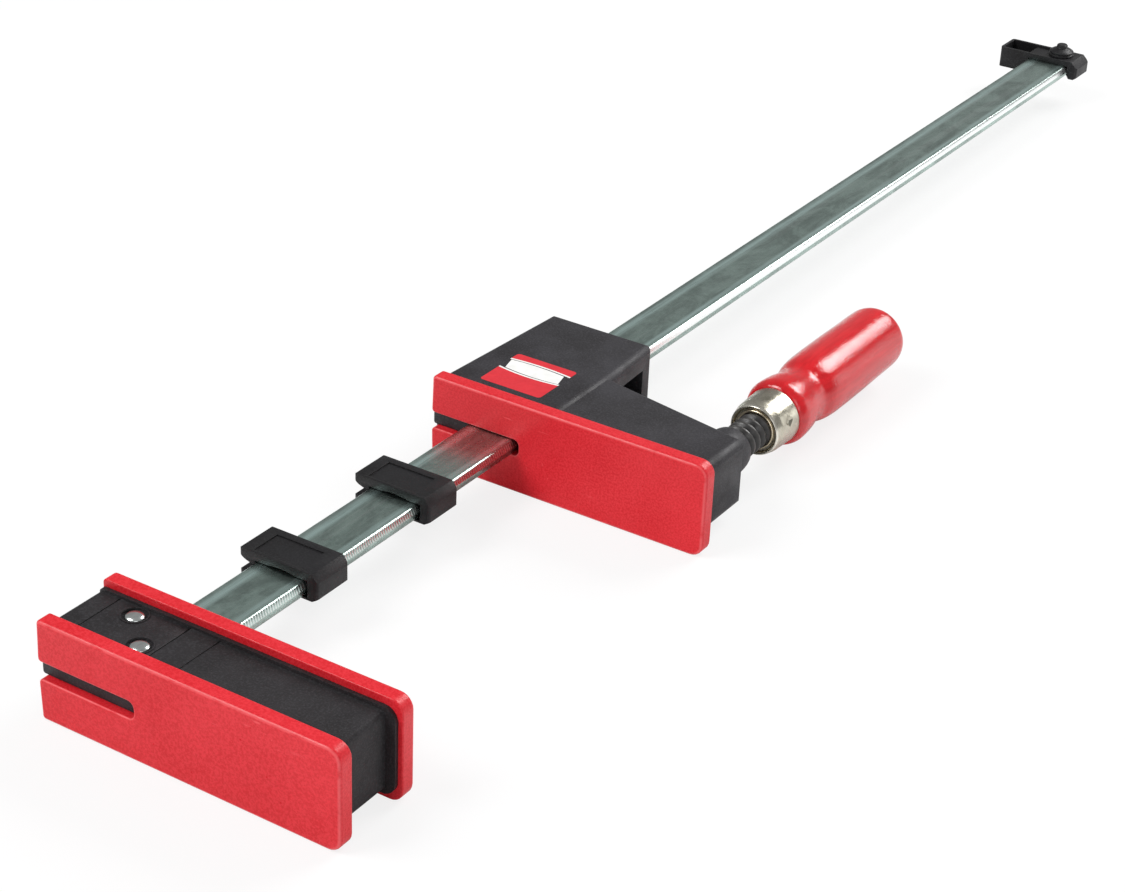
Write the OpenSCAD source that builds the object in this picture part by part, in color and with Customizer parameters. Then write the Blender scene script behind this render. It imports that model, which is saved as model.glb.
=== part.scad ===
// Parallel clamp: a fixed jaw and a sliding jaw on one steel rail, drawn with the rail along +Y,
// the jaws reaching along +X and the clamp lying on its side, so +Z points up.
// The origin is the middle of the fixed jaw's inner face. All sizes are in millimetres.

/* [Rail] */
// width of the rail across its flat side
rail_width = 22; // [12:0.5:40]
// thickness of the rail
rail_thick = 6; // [3:0.5:12]
// rounding of the rail's four long edges
rail_edge = 1.4; // [0.3:0.1:3]
// distance from the fixed jaw's inner face to the end clip
rail_reach = 698; // [300:1:1200]

/* [Pads] */
// length of each pad, along the jaw
pad_length = 120; // [80:1:200]
// height of each pad
pad_height = 37.4; // [24:1:60]
// thickness of each pad
pad_thick = 6; // [3:0.5:12]
// corner radius at the free end of a pad
pad_corner = 5; // [1:0.5:10]
// corner radius at the rail end of a pad
pad_rail_corner = 1.6; // [0.5:0.1:4]
// rounding of the front edge of a pad
pad_edge = 1.2; // [0.3:0.1:2.5]
// height of the slot in a pad
slot_height = 6.6; // [4:0.1:14]
// reach of the slot past the rail's throat side
slot_past_rail = 1.7; // [0.4:0.1:6]
// corner radius at the closed end of the slot
slot_corner = 2.4; // [0.5:0.1:3.2]

/* [Jaws] */
// distance from the rail's throat side to the free end of the pads
throat_depth = 82; // [50:0.5:150]
// opening between the two inner pads as drawn
jaw_opening = 175; // [140:1:500]

/* [Fixed jaw] */
// depth of the fixed housing between its two pads
fixed_depth = 25; // [16:0.5:50]
// height of the fixed housing
fixed_height = 30; // [20:0.5:50]
// inset of the fixed housing from the free end of the pads
fixed_inset = 5.5; // [1:0.5:20]
// rounding of the fixed housing's long edges at the free end
fixed_corner = 2.6; // [0.5:0.1:6]
// thickness of the rim that backs the inner pad
rim_thick = 1.6; // [0.8:0.1:4]
// height of that rim
rim_height = 32; // [22:0.5:52]
// inset of the rim from the free end of the pad
rim_inset = 1.8; // [0.4:0.1:8]
// wall that closes the fixed housing in front of the rail
fixed_wall = 2.4; // [1:0.1:6]
// width of the fine grooves round the moulded panel
groove_width = 0.5; // [0.3:0.1:1.5]
// depth of those grooves and of the moulded step
groove_depth = 0.3; // [0.2:0.1:1]
// distance of the panel's grooves past the rail's two sides
groove_margin = 7; // [3:0.5:14]
// distance of the step from the rail's throat side
step_past_rail = 12.2; // [6:0.1:30]

/* [Fixed core] */
// height of the steel core of the fixed jaw
core_height = 19; // [12:0.5:26]
// inset of that core from the fixed housing's free end
core_inset = 7; // [3:0.5:20]
// width of the core past the rail's back
core_past_rail = 4; // [1.5:0.5:10]
// number of cast pockets in each face of the core
pocket_count = 3; // [1:1:5]
// depth of each cast pocket
pocket_depth = 4; // [1:0.5:7]
// rib left between two pockets
pocket_rib = 4; // [2:0.5:8]

/* [Rivets] */
// shank radius of a rivet
rivet_shank = 2; // [1:0.1:3]
// head radius of a rivet
rivet_head = 3.8; // [2.4:0.1:5]
// height of a rivet's domed head
rivet_dome = 1.6; // [0.6:0.1:3]
// inner radius of the ring moulded round a rivet
ring_inner = 4.4; // [3:0.1:6]
// width of that ring
ring_width = 0.5; // [0.3:0.1:1.5]
// depth of the round recess inside the ring
ring_recess = 0.8; // [0.3:0.1:2]
// distance of the inner rivet from the rail's back
inner_rivet_edge = 3.3; // [3:0.1:9]
// distance of the outer rivet from the rail's throat side
outer_rivet_edge = 5.9; // [3:0.1:9]
// distance of each rivet from the nearer pad
rivet_inset = 6.4; // [4:0.1:12]

/* [Moving jaw] */
// depth of the slider block behind its pad
slider_depth = 74; // [40:0.1:120]
// height of the slider block
slider_height = 29; // [20:0.5:50]
// overhang of the slider block past the pad at its back, where it meets the pad
slider_overhang = 1.7; // [0:0.1:5]
// taper of the slider block's back side over its depth
back_taper = 4; // [0:0.5:12]
// taper of the slider block's throat side over its depth
front_taper = 1.7; // [0:0.1:8]
// width of the slider block past the rail's throat side
slider_past_rail = 13; // [6:0.5:30]
// corner radius of the slider block seen from above
slider_corner = 3.6; // [1:0.1:8]
// rounding along the slider block's throat side
slider_ridge = 3.6; // [1:0.1:8]
// rounding along the slider block's other long edges
slider_edge = 1.5; // [0.4:0.1:4]
// depth of the arm at the slider block
arm_root = 41.2; // [24:0.2:60]
// depth of the arm at its free end
arm_tip = 29.2; // [20:0.2:50]
// height of the arm
arm_height = 27.4; // [20:0.2:48]
// inset of the arm's end from the free end of the pad
arm_inset = 4; // [0:0.5:16]
// rounding along the arm's end
arm_ridge = 4; // [1:0.1:8]
// corner radius of the arm's end seen from above
arm_corner = 2.4; // [0.8:0.1:8]
// rounding along the arm's sloping back
arm_edge = 2; // [0.4:0.1:6]

/* [Slider window] */
// length of the window in the slider block's throat side
window_length = 19; // [8:0.5:40]
// height of the window and of the chamber behind it
window_height = 14; // [8:0.5:24]
// distance of the window from the back of the slider block
window_inset = 8; // [4:0.5:30]
// thickness of the steel grip plate
plate_thick = 2.2; // [1:0.1:5]
// reach of the grip plate past the rail's two sides
plate_reach = 5; // [2:0.5:9]
// depth that the grip plate sits in the chamber's walls
plate_seat = 2; // [0.8:0.1:4]
// distance of the grip plate's middle from the front of the window
plate_place = 8; // [4:0.5:14]

/* [Arm core] */
// height of the steel core in the arm
arm_core_height = 19; // [12:0.5:24]
// wall of the housing behind the arm core
arm_wall = 3.4; // [1.5:0.1:8]
// inset of the arm core from the arm's end
arm_core_inset = 4; // [2:0.5:10]
// gap between the rail and the arm core
arm_core_gap = 6.5; // [3:0.5:14]
// thickness of the thrust plate behind the pad
thrust_thick = 2.5; // [1:0.1:5]
// length of the thrust plate along the jaw
thrust_length = 22; // [14:0.5:40]

/* [Spindle] */
// distance of the spindle from the rail's middle
spindle_offset = 75.9; // [50:0.1:140]
// radius of the spindle's thread
thread_radius = 7; // [4:0.1:10]
// radius of the spindle's tang in the handle
tang_radius = 5; // [2:0.1:8]
// length of the tang
tang_length = 36; // [15:1:60]
// radius of the spindle's nose in the shoe
nose_radius = 2.8; // [1.5:0.1:5]
// travel of the shoe before it meets the thrust plate
spindle_travel = 12; // [4:0.5:20]
// radius of the shoe
shoe_radius = 6.2; // [4:0.1:9]
// length of the shoe
shoe_length = 6.5; // [4:0.1:12]
// rounding cone at the front of the shoe
shoe_bevel = 1; // [0.2:0.1:2]
// thickness of the ring that keeps the shoe on the nose
keeper_thick = 1; // [0.4:0.1:2]
// radius of that ring
keeper_radius = 4.6; // [3.4:0.1:5.4]
// depth of the groove in the nose that the ring sits in
keeper_groove = 0.6; // [0.3:0.1:1.2]
// radius of the threaded bush
nut_radius = 8.2; // [6:0.1:12]
// length of the threaded bush
nut_length = 15; // [8:0.5:24]
// gap between the shoe at rest and the threaded bush
nut_gap = 2.6; // [1:0.1:6]
// length of the boss behind the arm
boss_length = 12.9; // [4:0.1:20]
// radius of the boss where it leaves the arm
boss_radius = 9.6; // [9.3:0.1:16]

/* [Handle] */
// bare thread between the boss and the ferrule
bare_thread = 16.1; // [14:0.5:30]
// radius of the ferrule
ferrule_radius = 11.5; // [8:0.1:18]
// radius of the ferrule's front rim
ferrule_rim = 10.3; // [7.4:0.1:17]
// wall of the ferrule
ferrule_wall = 0.8; // [0.4:0.1:2]
// length of the ferrule
ferrule_length = 15.8; // [10:0.1:40]
// length of the ferrule's rounded front behind its rim
ferrule_cone = 4; // [2:0.1:8]
// taper of the ferrule's side, from its back to its rounded front
ferrule_taper = 0.5; // [0:0.1:2]
// depth of the dish in the ferrule's front
ferrule_dish = 1.3; // [0.4:0.1:3]
// radius of the collar round the thread
collar_radius = 8.1; // [7.6:0.1:9.4]
// length of that collar
collar_length = 4.2; // [2:0.1:8]
// largest radius of the wooden handle
handle_radius = 13.85; // [11:0.1:22]
// length of the wooden handle behind the ferrule
handle_length = 90; // [50:0.5:160]

/* [Work clips] */
// length of a work clip along the rail
clip_length = 17.2; // [8:0.2:40]
// thickness of a clip's top and bottom leaves
clip_leaf = 3.2; // [1.5:0.1:6]
// reach of a clip past the rail's back
clip_back = 6.9; // [4:0.1:15]
// thickness of a clip's throat side
clip_side = 4.6; // [2:0.1:10]
// bevel on a clip's throat side
clip_bevel = 2.4; // [0.5:0.1:3.5]
// opening between a clip's two lips
clip_mouth = 3.8; // [1:0.1:4.8]
// distance from the fixed jaw's inner face to the near clip
near_clip_place = 50.8; // [2:0.1:160]
// distance from the fixed jaw's inner face to the far clip
far_clip_place = 114.8; // [20:0.1:300]
// height of the arch under a clip's top leaf
arch_height = 0.7; // [0.2:0.1:1.8]
// width of that arch
arch_width = 12; // [6:0.5:20]
// depth of the panel sunk in a clip's top leaf
panel_depth = 0.4; // [0.2:0.1:1]

/* [End clip] */
// length of the end clip along the rail
end_length = 16.6; // [8:0.5:30]
// thickness of the end clip's top strap
end_strap = 2.8; // [1.5:0.1:6]
// width of the end clip's box beside the rail
end_box = 16.5; // [8:0.2:30]
// depth of that box below the rail
end_drop = 1.9; // [0.5:0.1:8]
// thickness of the end clip's throat side
end_side = 5.6; // [3:0.1:10]
// bevel on the end clip's throat side
end_bevel = 3.4; // [1:0.1:4.4]
// wall round the end clip's tray
end_wall = 1.5; // [0.8:0.1:3]
// wall that closes the end clip behind the rail
end_stop = 2; // [1:0.1:5]
// depth of the shallow part of the tray, over the rail
tray_shallow = 1.2; // [0.3:0.1:2]
// shank radius of the end pin
pin_radius = 2.8; // [1.5:0.1:4]
// radius of the end pin's button
button_radius = 6.4; // [4:0.1:9]
// height of the end pin's button
button_height = 6; // [3:0.1:10]
// distance of the end pin from the rail's back
pin_place = 14.8; // [8:0.1:18]

/* [Fits] */
// gap between the rail and what slides on it
slide_gap = 0.3; // [0.1:0.05:0.6]
// gap between pieces that are fixed together
fixed_gap = 0.05; // [0:0.01:0.2]
// gap round the turning thread
turn_gap = 0.06; // [0.01:0.01:0.1]
// gap between the shoe and the pieces near it
shoe_gap = 0.3; // [0.1:0.05:0.8]
// overrun of every cut past the surface that it opens
over = 1; // [0.2:0.1:3]
// number of faces on a round form in the preview
round_steps = 72; // [24:4:160]

/* [Hidden] */
$fn = round_steps;

// places along X
free_end = pad_length / 2;
rail_end_of_pad = -free_end;
rail_front = free_end - throat_depth;
rail_back = rail_front - rail_width;
rail_middle = (rail_front + rail_back) / 2;
slot_end = rail_front + slot_past_rail;
fixed_end = free_end - fixed_inset;
rim_end = free_end - rim_inset;
step_place = rail_front + step_past_rail;
core_end = fixed_end - core_inset;
core_start = rail_back - core_past_rail;
arm_end = free_end - arm_inset;
slider_front = rail_front + slider_past_rail;
slider_back = rail_end_of_pad - slider_overhang;
arm_core_start = rail_front + arm_core_gap;
arm_core_end = arm_end - arm_core_inset;
spindle_x = rail_middle + spindle_offset;
thrust_start = arm_core_end - thrust_length;

// places along Y
rim_front = -pad_thick - rim_thick;
fixed_front = -pad_thick - fixed_depth;
rail_start = fixed_front + fixed_wall;
rail_end = rail_reach + end_length - end_stop;
moving_back = jaw_opening + pad_thick;
slider_rear = moving_back + slider_depth;
arm_back = moving_back + arm_root;
arm_slope = (arm_root - arm_tip) / (arm_end - slider_front);
arm_rear_at_spindle = moving_back + arm_tip + arm_slope * (arm_end - spindle_x);
boss_end = arm_rear_at_spindle + boss_length;
thrust_back = moving_back + thrust_thick;
shoe_front = thrust_back + shoe_gap + spindle_travel;
shoe_back = shoe_front + shoe_length;
nut_front = shoe_back + nut_gap;
thread_front = shoe_back + shoe_gap;
ferrule_front = boss_end + bare_thread;
ferrule_back = ferrule_front + ferrule_length;
thread_back = ferrule_front + collar_length;
tang_back = thread_back + tang_length;
window_back = slider_rear - window_inset;
window_front = window_back - window_length;
plate_middle = window_front + plate_place;

// slopes of the moving jaw's sides, seen from above
back_angle = atan2(back_taper, slider_depth);
front_angle = atan2(front_taper, slider_depth - arm_root);
arm_angle = atan(arm_slope);

// heights
rail_top = rail_thick / 2;
seat_floor = fixed_height / 2 - ring_recess;

// shares of the handle's length and radius, from the ferrule to the rounded end
handle_shares = [
  [0, 0.85], [0.006, 0.895], [0.018, 0.942], [0.03, 0.968], [0.045, 0.98], [0.062, 0.977],
  [0.085, 0.966], [0.107, 0.952], [0.13, 0.931], [0.15, 0.907], [0.172, 0.88], [0.195, 0.855],
  [0.218, 0.843], [0.235, 0.848], [0.252, 0.873], [0.274, 0.921], [0.296, 0.957],
  [0.318, 0.977], [0.362, 0.994], [0.42, 1], [0.58, 0.997], [0.7, 0.989], [0.81, 0.979],
  [0.9, 0.971], [0.94, 0.962], [0.958, 0.94], [0.972, 0.89], [0.983, 0.78], [0.992, 0.57],
  [0.998, 0.32], [1, 0]
];

// shares of the boss: distance from the arm over its length, radius over its root radius
boss_shares = [
  [0, 1], [0.3, 0.995], [0.52, 0.98], [0.68, 0.96], [0.8, 0.935], [0.9, 0.9], [0.96, 0.865],
  [1, 0.82]
];

// shares of the end pin's button: radius, height
button_shares = [
  [0, 0], [1, 0], [1, 0.14], [0.93, 0.2], [0.93, 0.24], [0.98, 0.28], [0.98, 0.4], [0.86, 0.5],
  [0.66, 0.62], [0.5, 0.68], [0.46, 0.74], [0.44, 0.92], [0.36, 1], [0, 1]
];

// upright block between two X, two Y and two Z places
module block(x_from, x_to, y_from, y_to, z_from, z_to) {
  translate([x_from, y_from, z_from])
    cube([x_to - x_from, y_to - y_from, z_to - z_from]);
}

// flat outline with its own corner radius at each side
module soft_outline(low, high, across_low, across_high, radius_low, radius_high) {
  translate([low + radius_low, across_low])
    square([high - low - radius_low - radius_high, across_high - across_low]);
  translate([low, across_low + radius_low])
    square([(high - low) / 2, across_high - across_low - 2 * radius_low]);
  translate([(low + high) / 2, across_low + radius_high])
    square([(high - low) / 2, across_high - across_low - 2 * radius_high]);
  for (across = [across_low + radius_low, across_high - radius_low])
    translate([low + radius_low, across])
      circle(r = radius_low);
  for (across = [across_low + radius_high, across_high - radius_high])
    translate([high - radius_high, across])
      circle(r = radius_high);
}

// outline given in X and Z, carried along Y
module along_y(y_from, y_to) {
  translate([0, y_to, 0])
    rotate([90, 0, 0])
      linear_extrude(height = y_to - y_from)
        children();
}

// outline given in Y and Z, carried along X
module along_x(x_from, x_to) {
  translate([x_from, 0, 0])
    rotate([90, 0, 90])
      linear_extrude(height = x_to - x_from)
        children();
}

// outline given in X and Y, carried along Z
module along_z(z_from, z_to) {
  translate([0, 0, z_from])
    linear_extrude(height = z_to - z_from)
      children();
}

// outline given as radius and place along Y, turned round the spindle
module turned() {
  translate([spindle_x, 0, 0])
    rotate([-90, 0, 0])
      rotate_extrude()
        children();
}

// round bar on the spindle's axis
module spindle_bar(radius, y_from, y_to) {
  translate([spindle_x, y_from, 0])
    rotate([-90, 0, 0])
      cylinder(r = radius, h = y_to - y_from);
}

// cone on the spindle's axis
module spindle_cone(radius_from, radius_to, y_from, y_to) {
  translate([spindle_x, y_from, 0])
    rotate([-90, 0, 0])
      cylinder(r1 = radius_from, r2 = radius_to, h = y_to - y_from);
}

// clear way round the rail, with the gap given on every side
module rail_way(gap, y_from, y_to) {
  block(
    rail_back - gap, rail_front + gap, y_from, y_to, -rail_top - gap, rail_top + gap
  );
}

// steel rail with rounded edges, two rivet holes and the end pin's hole
module rail() {
  color([0.47, 0.5, 0.49])
    difference() {
      along_y(rail_start, rail_end)
        soft_outline(rail_back, rail_front, -rail_top, rail_top, rail_edge, rail_edge);
      rivet_holes(rivet_shank + fixed_gap, rail_top + over);
      end_pin_hole(-rail_top - over, rail_top + over);
    }
}

// red pad with rounded front edges; the front looks along -Y and the back is at y_back
module pad_form(y_back) {
  y_front = y_back - pad_thick;
  difference() {
    intersection() {
      along_y(y_front, y_back)
        soft_outline(
          rail_end_of_pad, free_end, -pad_height / 2, pad_height / 2, pad_rail_corner, pad_corner
        );
      along_x(rail_end_of_pad - over, free_end + over)
        soft_outline(
          y_front, y_back + pad_thick, -pad_height / 2, pad_height / 2, pad_edge, pad_edge
        );
      along_z(-pad_height, pad_height)
        rotate([0, 0, 90])
          soft_outline(
            y_front, y_back + pad_thick, -free_end, -rail_end_of_pad, pad_edge, pad_edge
          );
    }
    along_y(y_front - over, y_back + over)
      soft_outline(
        rail_end_of_pad - slot_height, slot_end, -slot_height / 2, slot_height / 2,
        slot_corner, slot_corner
      );
  }
}

// pad on the outside of the fixed jaw
module outer_pad() {
  color([0.88, 0.13, 0.16])
    pad_form(fixed_front);
}

// pad on the inside of the fixed jaw, turned to look along +Y
module inner_pad() {
  color([0.88, 0.13, 0.16])
    mirror([0, 1, 0])
      pad_form(pad_thick);
}

// pad of the moving jaw
module moving_pad() {
  color([0.88, 0.13, 0.16])
    pad_form(moving_back);
}

// place of the rivet next to the inner pad, near the rail's back
module at_inner_rivet() {
  translate([rail_back + inner_rivet_edge, -pad_thick - rivet_inset, 0])
    children();
}

// place of the rivet next to the outer pad, near the rail's throat side
module at_outer_rivet() {
  translate([rail_front - outer_rivet_edge, fixed_front + rivet_inset, 0])
    children();
}

// both places
module at_rivets() {
  at_inner_rivet()
    children();
  at_outer_rivet()
    children();
}

// holes of both rivets
module rivet_holes(radius, half_height) {
  at_rivets()
    translate([0, 0, -half_height])
      cylinder(r = radius, h = 2 * half_height);
}

// raised ring round a rivet, on the top and the bottom face
module rivet_ring() {
  for (side = [0, 1])
    mirror([0, 0, side])
      translate([0, 0, fixed_height / 2 - ring_recess])
        cylinder(r = ring_inner + ring_width, h = ring_recess + groove_depth);
}

// round recess inside that ring
module rivet_recess() {
  for (side = [0, 1])
    mirror([0, 0, side])
      translate([0, 0, seat_floor])
        cylinder(r = ring_inner, h = ring_recess + over);
}

// one rivet with a domed head at both ends
module rivet_form() {
  dome_sphere = (rivet_head * rivet_head + rivet_dome * rivet_dome) / (2 * rivet_dome);
  translate([0, 0, -seat_floor])
    cylinder(r = rivet_shank, h = 2 * seat_floor);
  for (side = [0, 1])
    mirror([0, 0, side])
      intersection() {
        translate([0, 0, seat_floor + rivet_dome - dome_sphere])
          sphere(r = dome_sphere);
        translate([0, 0, seat_floor])
          cylinder(r = rivet_head, h = rivet_dome + over);
      }
}

// rivet next to the inner pad
module rivet_inner() {
  color([0.78, 0.8, 0.8])
    at_inner_rivet()
      rivet_form();
}

// rivet next to the outer pad
module rivet_outer() {
  color([0.78, 0.8, 0.8])
    at_outer_rivet()
      rivet_form();
}

// space that the fixed core fills, open towards the inner pad
module fixed_core_space(gap) {
  block(
    core_start - gap, core_end + gap, rail_start - gap, -pad_thick,
    -core_height / 2 - gap, core_height / 2 + gap
  );
}

// steel core of the fixed jaw, gripping the rail and cast with pockets towards the free end
module fixed_core() {
  pocket_room = core_end - rail_front - 3 * pocket_rib;
  pocket_length = (pocket_room - (pocket_count - 1) * pocket_rib) / pocket_count;
  pocket_round = (core_height - 2 * pocket_rib) / 4;
  color([0.36, 0.37, 0.38])
    difference() {
      fixed_core_space(0);
      rail_way(fixed_gap, rail_start - over, -pad_thick + over);
      rivet_holes(rivet_shank + fixed_gap, core_height);
      for (side = [0, 1])
        mirror([0, 0, side])
          for (count = [0:pocket_count - 1])
            along_z(core_height / 2 - pocket_depth, core_height / 2 + over)
              translate([rail_front + 2 * pocket_rib + count * (pocket_length + pocket_rib), 0])
                soft_outline(
                  0, pocket_length, rail_start + pocket_rib, -pad_thick - pocket_rib,
                  pocket_round, pocket_round
                );
    }
}

// fine groove cut into the top and the bottom face of the fixed housing
module panel_groove(x_place) {
  for (side = [0, 1])
    mirror([0, 0, side])
      block(
        x_place - groove_width / 2, x_place + groove_width / 2, fixed_front - over, rim_front,
        fixed_height / 2 - groove_depth, fixed_height / 2 + over
      );
}

// moulded housing of the fixed jaw with the rim that backs the inner pad
module fixed_casing() {
  color([0.17, 0.17, 0.18])
    difference() {
      union() {
        difference() {
          along_y(fixed_front, -pad_thick)
            soft_outline(
              rail_end_of_pad, fixed_end, -fixed_height / 2, fixed_height / 2,
              pad_rail_corner, fixed_corner
            );
          panel_groove(rail_back - groove_margin);
          panel_groove(rail_front + groove_depth);
          for (side = [0, 1])
            mirror([0, 0, side])
              block(
                step_place, free_end, fixed_front - over, rim_front,
                fixed_height / 2 - groove_depth, fixed_height / 2 + over
              );
        }
        along_y(rim_front, -pad_thick)
          soft_outline(
            rail_end_of_pad, rim_end, -rim_height / 2, rim_height / 2, pad_rail_corner, pad_corner
          );
        intersection() {
          at_rivets()
            rivet_ring();
          block(
            rail_end_of_pad, fixed_end, fixed_front, -pad_thick, -rim_height / 2, rim_height / 2
          );
        }
      }
      fixed_core_space(fixed_gap);
      at_rivets()
        rivet_recess();
      rivet_holes(rivet_shank + fixed_gap, fixed_height);
    }
}

// outline of the end clip in X and Z: box, strap over the rail and bevelled throat side
module end_outline() {
  top = rail_top + end_strap;
  side = rail_front + end_side;
  polygon([
    [rail_back - end_box, top],
    [side - end_bevel, top],
    [side, top - end_bevel],
    [side, -rail_top + end_wall / 3],
    [side - end_wall, -rail_top - end_wall / 3],
    [rail_front + end_wall, -rail_top - end_wall / 3],
    [rail_front + fixed_gap, -rail_top + end_wall],
    [rail_front + fixed_gap, rail_top + fixed_gap],
    [rail_back - fixed_gap, rail_top + fixed_gap],
    [rail_back - fixed_gap, -rail_top - end_drop],
    [rail_back - end_box, -rail_top - end_drop]
  ]);
}

// hole of the end pin
module end_pin_hole(z_from, z_to) {
  translate([rail_back + pin_place, rail_reach + end_length / 2, z_from])
    cylinder(r = pin_radius + fixed_gap, h = z_to - z_from);
}

// black clip that closes the far end of the rail, with an open tray beside the rail
module end_clip() {
  y_from = rail_reach;
  y_to = rail_reach + end_length;
  top = rail_top + end_strap;
  tray_end = rail_back + pin_place - button_radius - end_wall / 2;
  color([0.13, 0.13, 0.13])
    difference() {
      union() {
        intersection() {
          along_y(y_from, y_to)
            end_outline();
          along_z(-rail_width, rail_width)
            soft_outline(
              rail_back - end_box, rail_front + end_side, y_from, y_to, end_wall, end_wall
            );
        }
        block(
          rail_back - fixed_gap - over, rail_front + over, rail_end, y_to,
          -rail_top, rail_top + over
        );
      }
      block(
        rail_back - end_box + end_wall, rail_back - end_wall, y_from + end_wall, y_to - end_wall,
        -rail_top - end_drop + end_wall, top + over
      );
      block(
        rail_back - end_box + end_wall, tray_end, y_from + end_wall, y_to - end_wall,
        top - tray_shallow, top + over
      );
      end_pin_hole(rail_top - over, top + over);
    }
}

// push-in pin that holds the end clip, with a stepped button
module end_pin() {
  top = rail_top + end_strap;
  color([0.1, 0.1, 0.1])
    translate([rail_back + pin_place, rail_reach + end_length / 2, 0]) {
      translate([0, 0, -rail_top])
        cylinder(r = pin_radius, h = rail_thick + end_strap);
      translate([0, 0, top])
        rotate_extrude()
          polygon([
            for (pair = button_shares) [pair[0] * button_radius, pair[1] * button_height]
          ]);
    }
}

// outline of a work clip in X and Z: a C that snaps over the rail from its throat side
module clip_outline() {
  gap_top = rail_top + slide_gap;
  top = gap_top + clip_leaf;
  bottom = -gap_top - clip_leaf / 4;
  side = rail_front + clip_side;
  lip_back = rail_back - clip_back;
  lip_front = rail_back - slide_gap;
  lip_half = clip_mouth / 2;
  polygon([
    [lip_back + clip_leaf / 8, top],
    [side - clip_bevel, top],
    [side, top - clip_bevel * 1.3],
    [side, bottom + clip_bevel * 0.6],
    [side - clip_bevel, bottom],
    [lip_back + clip_leaf / 6, bottom],
    [lip_back, bottom + clip_leaf / 6],
    [lip_back, -lip_half - clip_leaf / 8],
    [lip_back + clip_leaf / 8, -lip_half],
    [lip_front, -lip_half],
    [lip_front, -gap_top],
    [rail_front + slide_gap, -gap_top],
    [rail_front + slide_gap, gap_top],
    [lip_front, gap_top],
    [lip_front, lip_half],
    [lip_back + clip_back * 0.6, lip_half],
    [lip_back + clip_back * 0.3, lip_half + clip_leaf * 0.22],
    [lip_back + clip_back * 0.08, lip_half + clip_leaf * 0.52],
    [lip_back, lip_half + clip_leaf * 0.85],
    [lip_back, top - clip_leaf / 4]
  ]);
}

// work clip with its front at the place given
module clip_form(y_from) {
  y_to = y_from + clip_length;
  gap_top = rail_top + slide_gap;
  top = gap_top + clip_leaf;
  arch_radius = (arch_width * arch_width / 4 + arch_height * arch_height) / (2 * arch_height);
  difference() {
    intersection() {
      along_y(y_from, y_to)
        clip_outline();
      along_z(-rail_width, rail_width)
        soft_outline(
          rail_back - clip_back, rail_front + clip_side, y_from, y_to,
          clip_leaf / 3, clip_leaf / 3
        );
    }
    intersection() {
      translate([rail_middle, y_to + over, gap_top + arch_height - arch_radius])
        rotate([90, 0, 0])
          cylinder(r = arch_radius, h = clip_length + 2 * over);
      block(rail_back, rail_front, y_from - over, y_to + over, rail_top, top);
    }
    block(
      rail_back - clip_leaf / 2, rail_front - clip_leaf, y_from + clip_leaf / 2,
      y_to - clip_leaf, top - panel_depth, top + over
    );
  }
}

// work clip nearer the fixed jaw
module near_clip() {
  color([0.15, 0.15, 0.16])
    clip_form(near_clip_place);
}

// work clip nearer the moving jaw
module far_clip() {
  color([0.15, 0.15, 0.16])
    clip_form(far_clip_place);
}

// slider block seen from above, with tapering sides and round corners at its back
module slider_plan() {
  round_y = slider_rear - slider_corner;
  back_x = slider_back + (round_y - moving_back) * tan(back_angle) + slider_corner / cos(back_angle);
  front_x = slider_front - (round_y - arm_back) * tan(front_angle) - slider_corner / cos(front_angle);
  polygon([
    [slider_back, moving_back],
    [slider_front, moving_back],
    [slider_front, arm_back],
    [front_x + slider_corner * cos(front_angle), round_y + slider_corner * sin(front_angle)],
    [front_x, slider_rear],
    [back_x, slider_rear],
    [back_x - slider_corner * cos(back_angle), round_y + slider_corner * sin(back_angle)]
  ]);
  for (x_place = [back_x, front_x])
    translate([x_place, round_y])
      circle(r = slider_corner);
}

// arm seen from above: its back slopes towards the free end and meets it with a round corner
module arm_plan(rear_inset, end_inset) {
  x_in = slider_front - slider_past_rail / 2;
  x_end = arm_end - end_inset;
  round_x = x_end - arm_corner;
  y_end = moving_back + arm_tip - rear_inset + arm_slope * end_inset;
  round_y = y_end + arm_slope * arm_corner - arm_corner / cos(arm_angle);
  polygon([
    [x_in, moving_back],
    [x_end, moving_back],
    [x_end, round_y],
    [round_x + arm_corner * sin(arm_angle), round_y + arm_corner * cos(arm_angle)],
    [x_in, y_end + arm_slope * (x_end - x_in)]
  ]);
  translate([round_x, round_y])
    circle(r = arm_corner);
}

// slider block, with its long edges rounded along each side's own slope
module slider_block() {
  half = slider_height / 2;
  intersection() {
    along_z(-half, half)
      slider_plan();
    along_y(moving_back, slider_rear)
      soft_outline(slider_back, slider_front, -half, half, slider_edge, slider_ridge);
    along_x(slider_back, slider_front)
      soft_outline(moving_back - slider_depth, slider_rear, -half, half, slider_edge, slider_edge);
    translate([slider_back, moving_back, 0])
      rotate([0, 0, -back_angle])
        along_y(-slider_depth, 2 * slider_depth)
          soft_outline(0, pad_length, -half, half, slider_edge, slider_edge);
    translate([slider_front, arm_back, 0])
      rotate([0, 0, front_angle])
        along_y(-slider_depth, slider_depth)
          soft_outline(-pad_length, 0, -half, half, slider_edge, slider_ridge);
  }
}

// arm, with its end and its sloping back rounded at the top and the bottom
module arm_block() {
  half = arm_height / 2;
  intersection() {
    along_z(-half, half)
      arm_plan(0, 0);
    along_y(moving_back, slider_rear)
      soft_outline(rail_middle, arm_end, -half, half, arm_edge, arm_ridge);
    translate([slider_front, arm_back, 0])
      rotate([0, 0, -arm_angle])
        along_x(-pad_length, pad_length)
          soft_outline(-slider_depth, 0, -half, half, arm_edge, arm_edge);
  }
}

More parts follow.
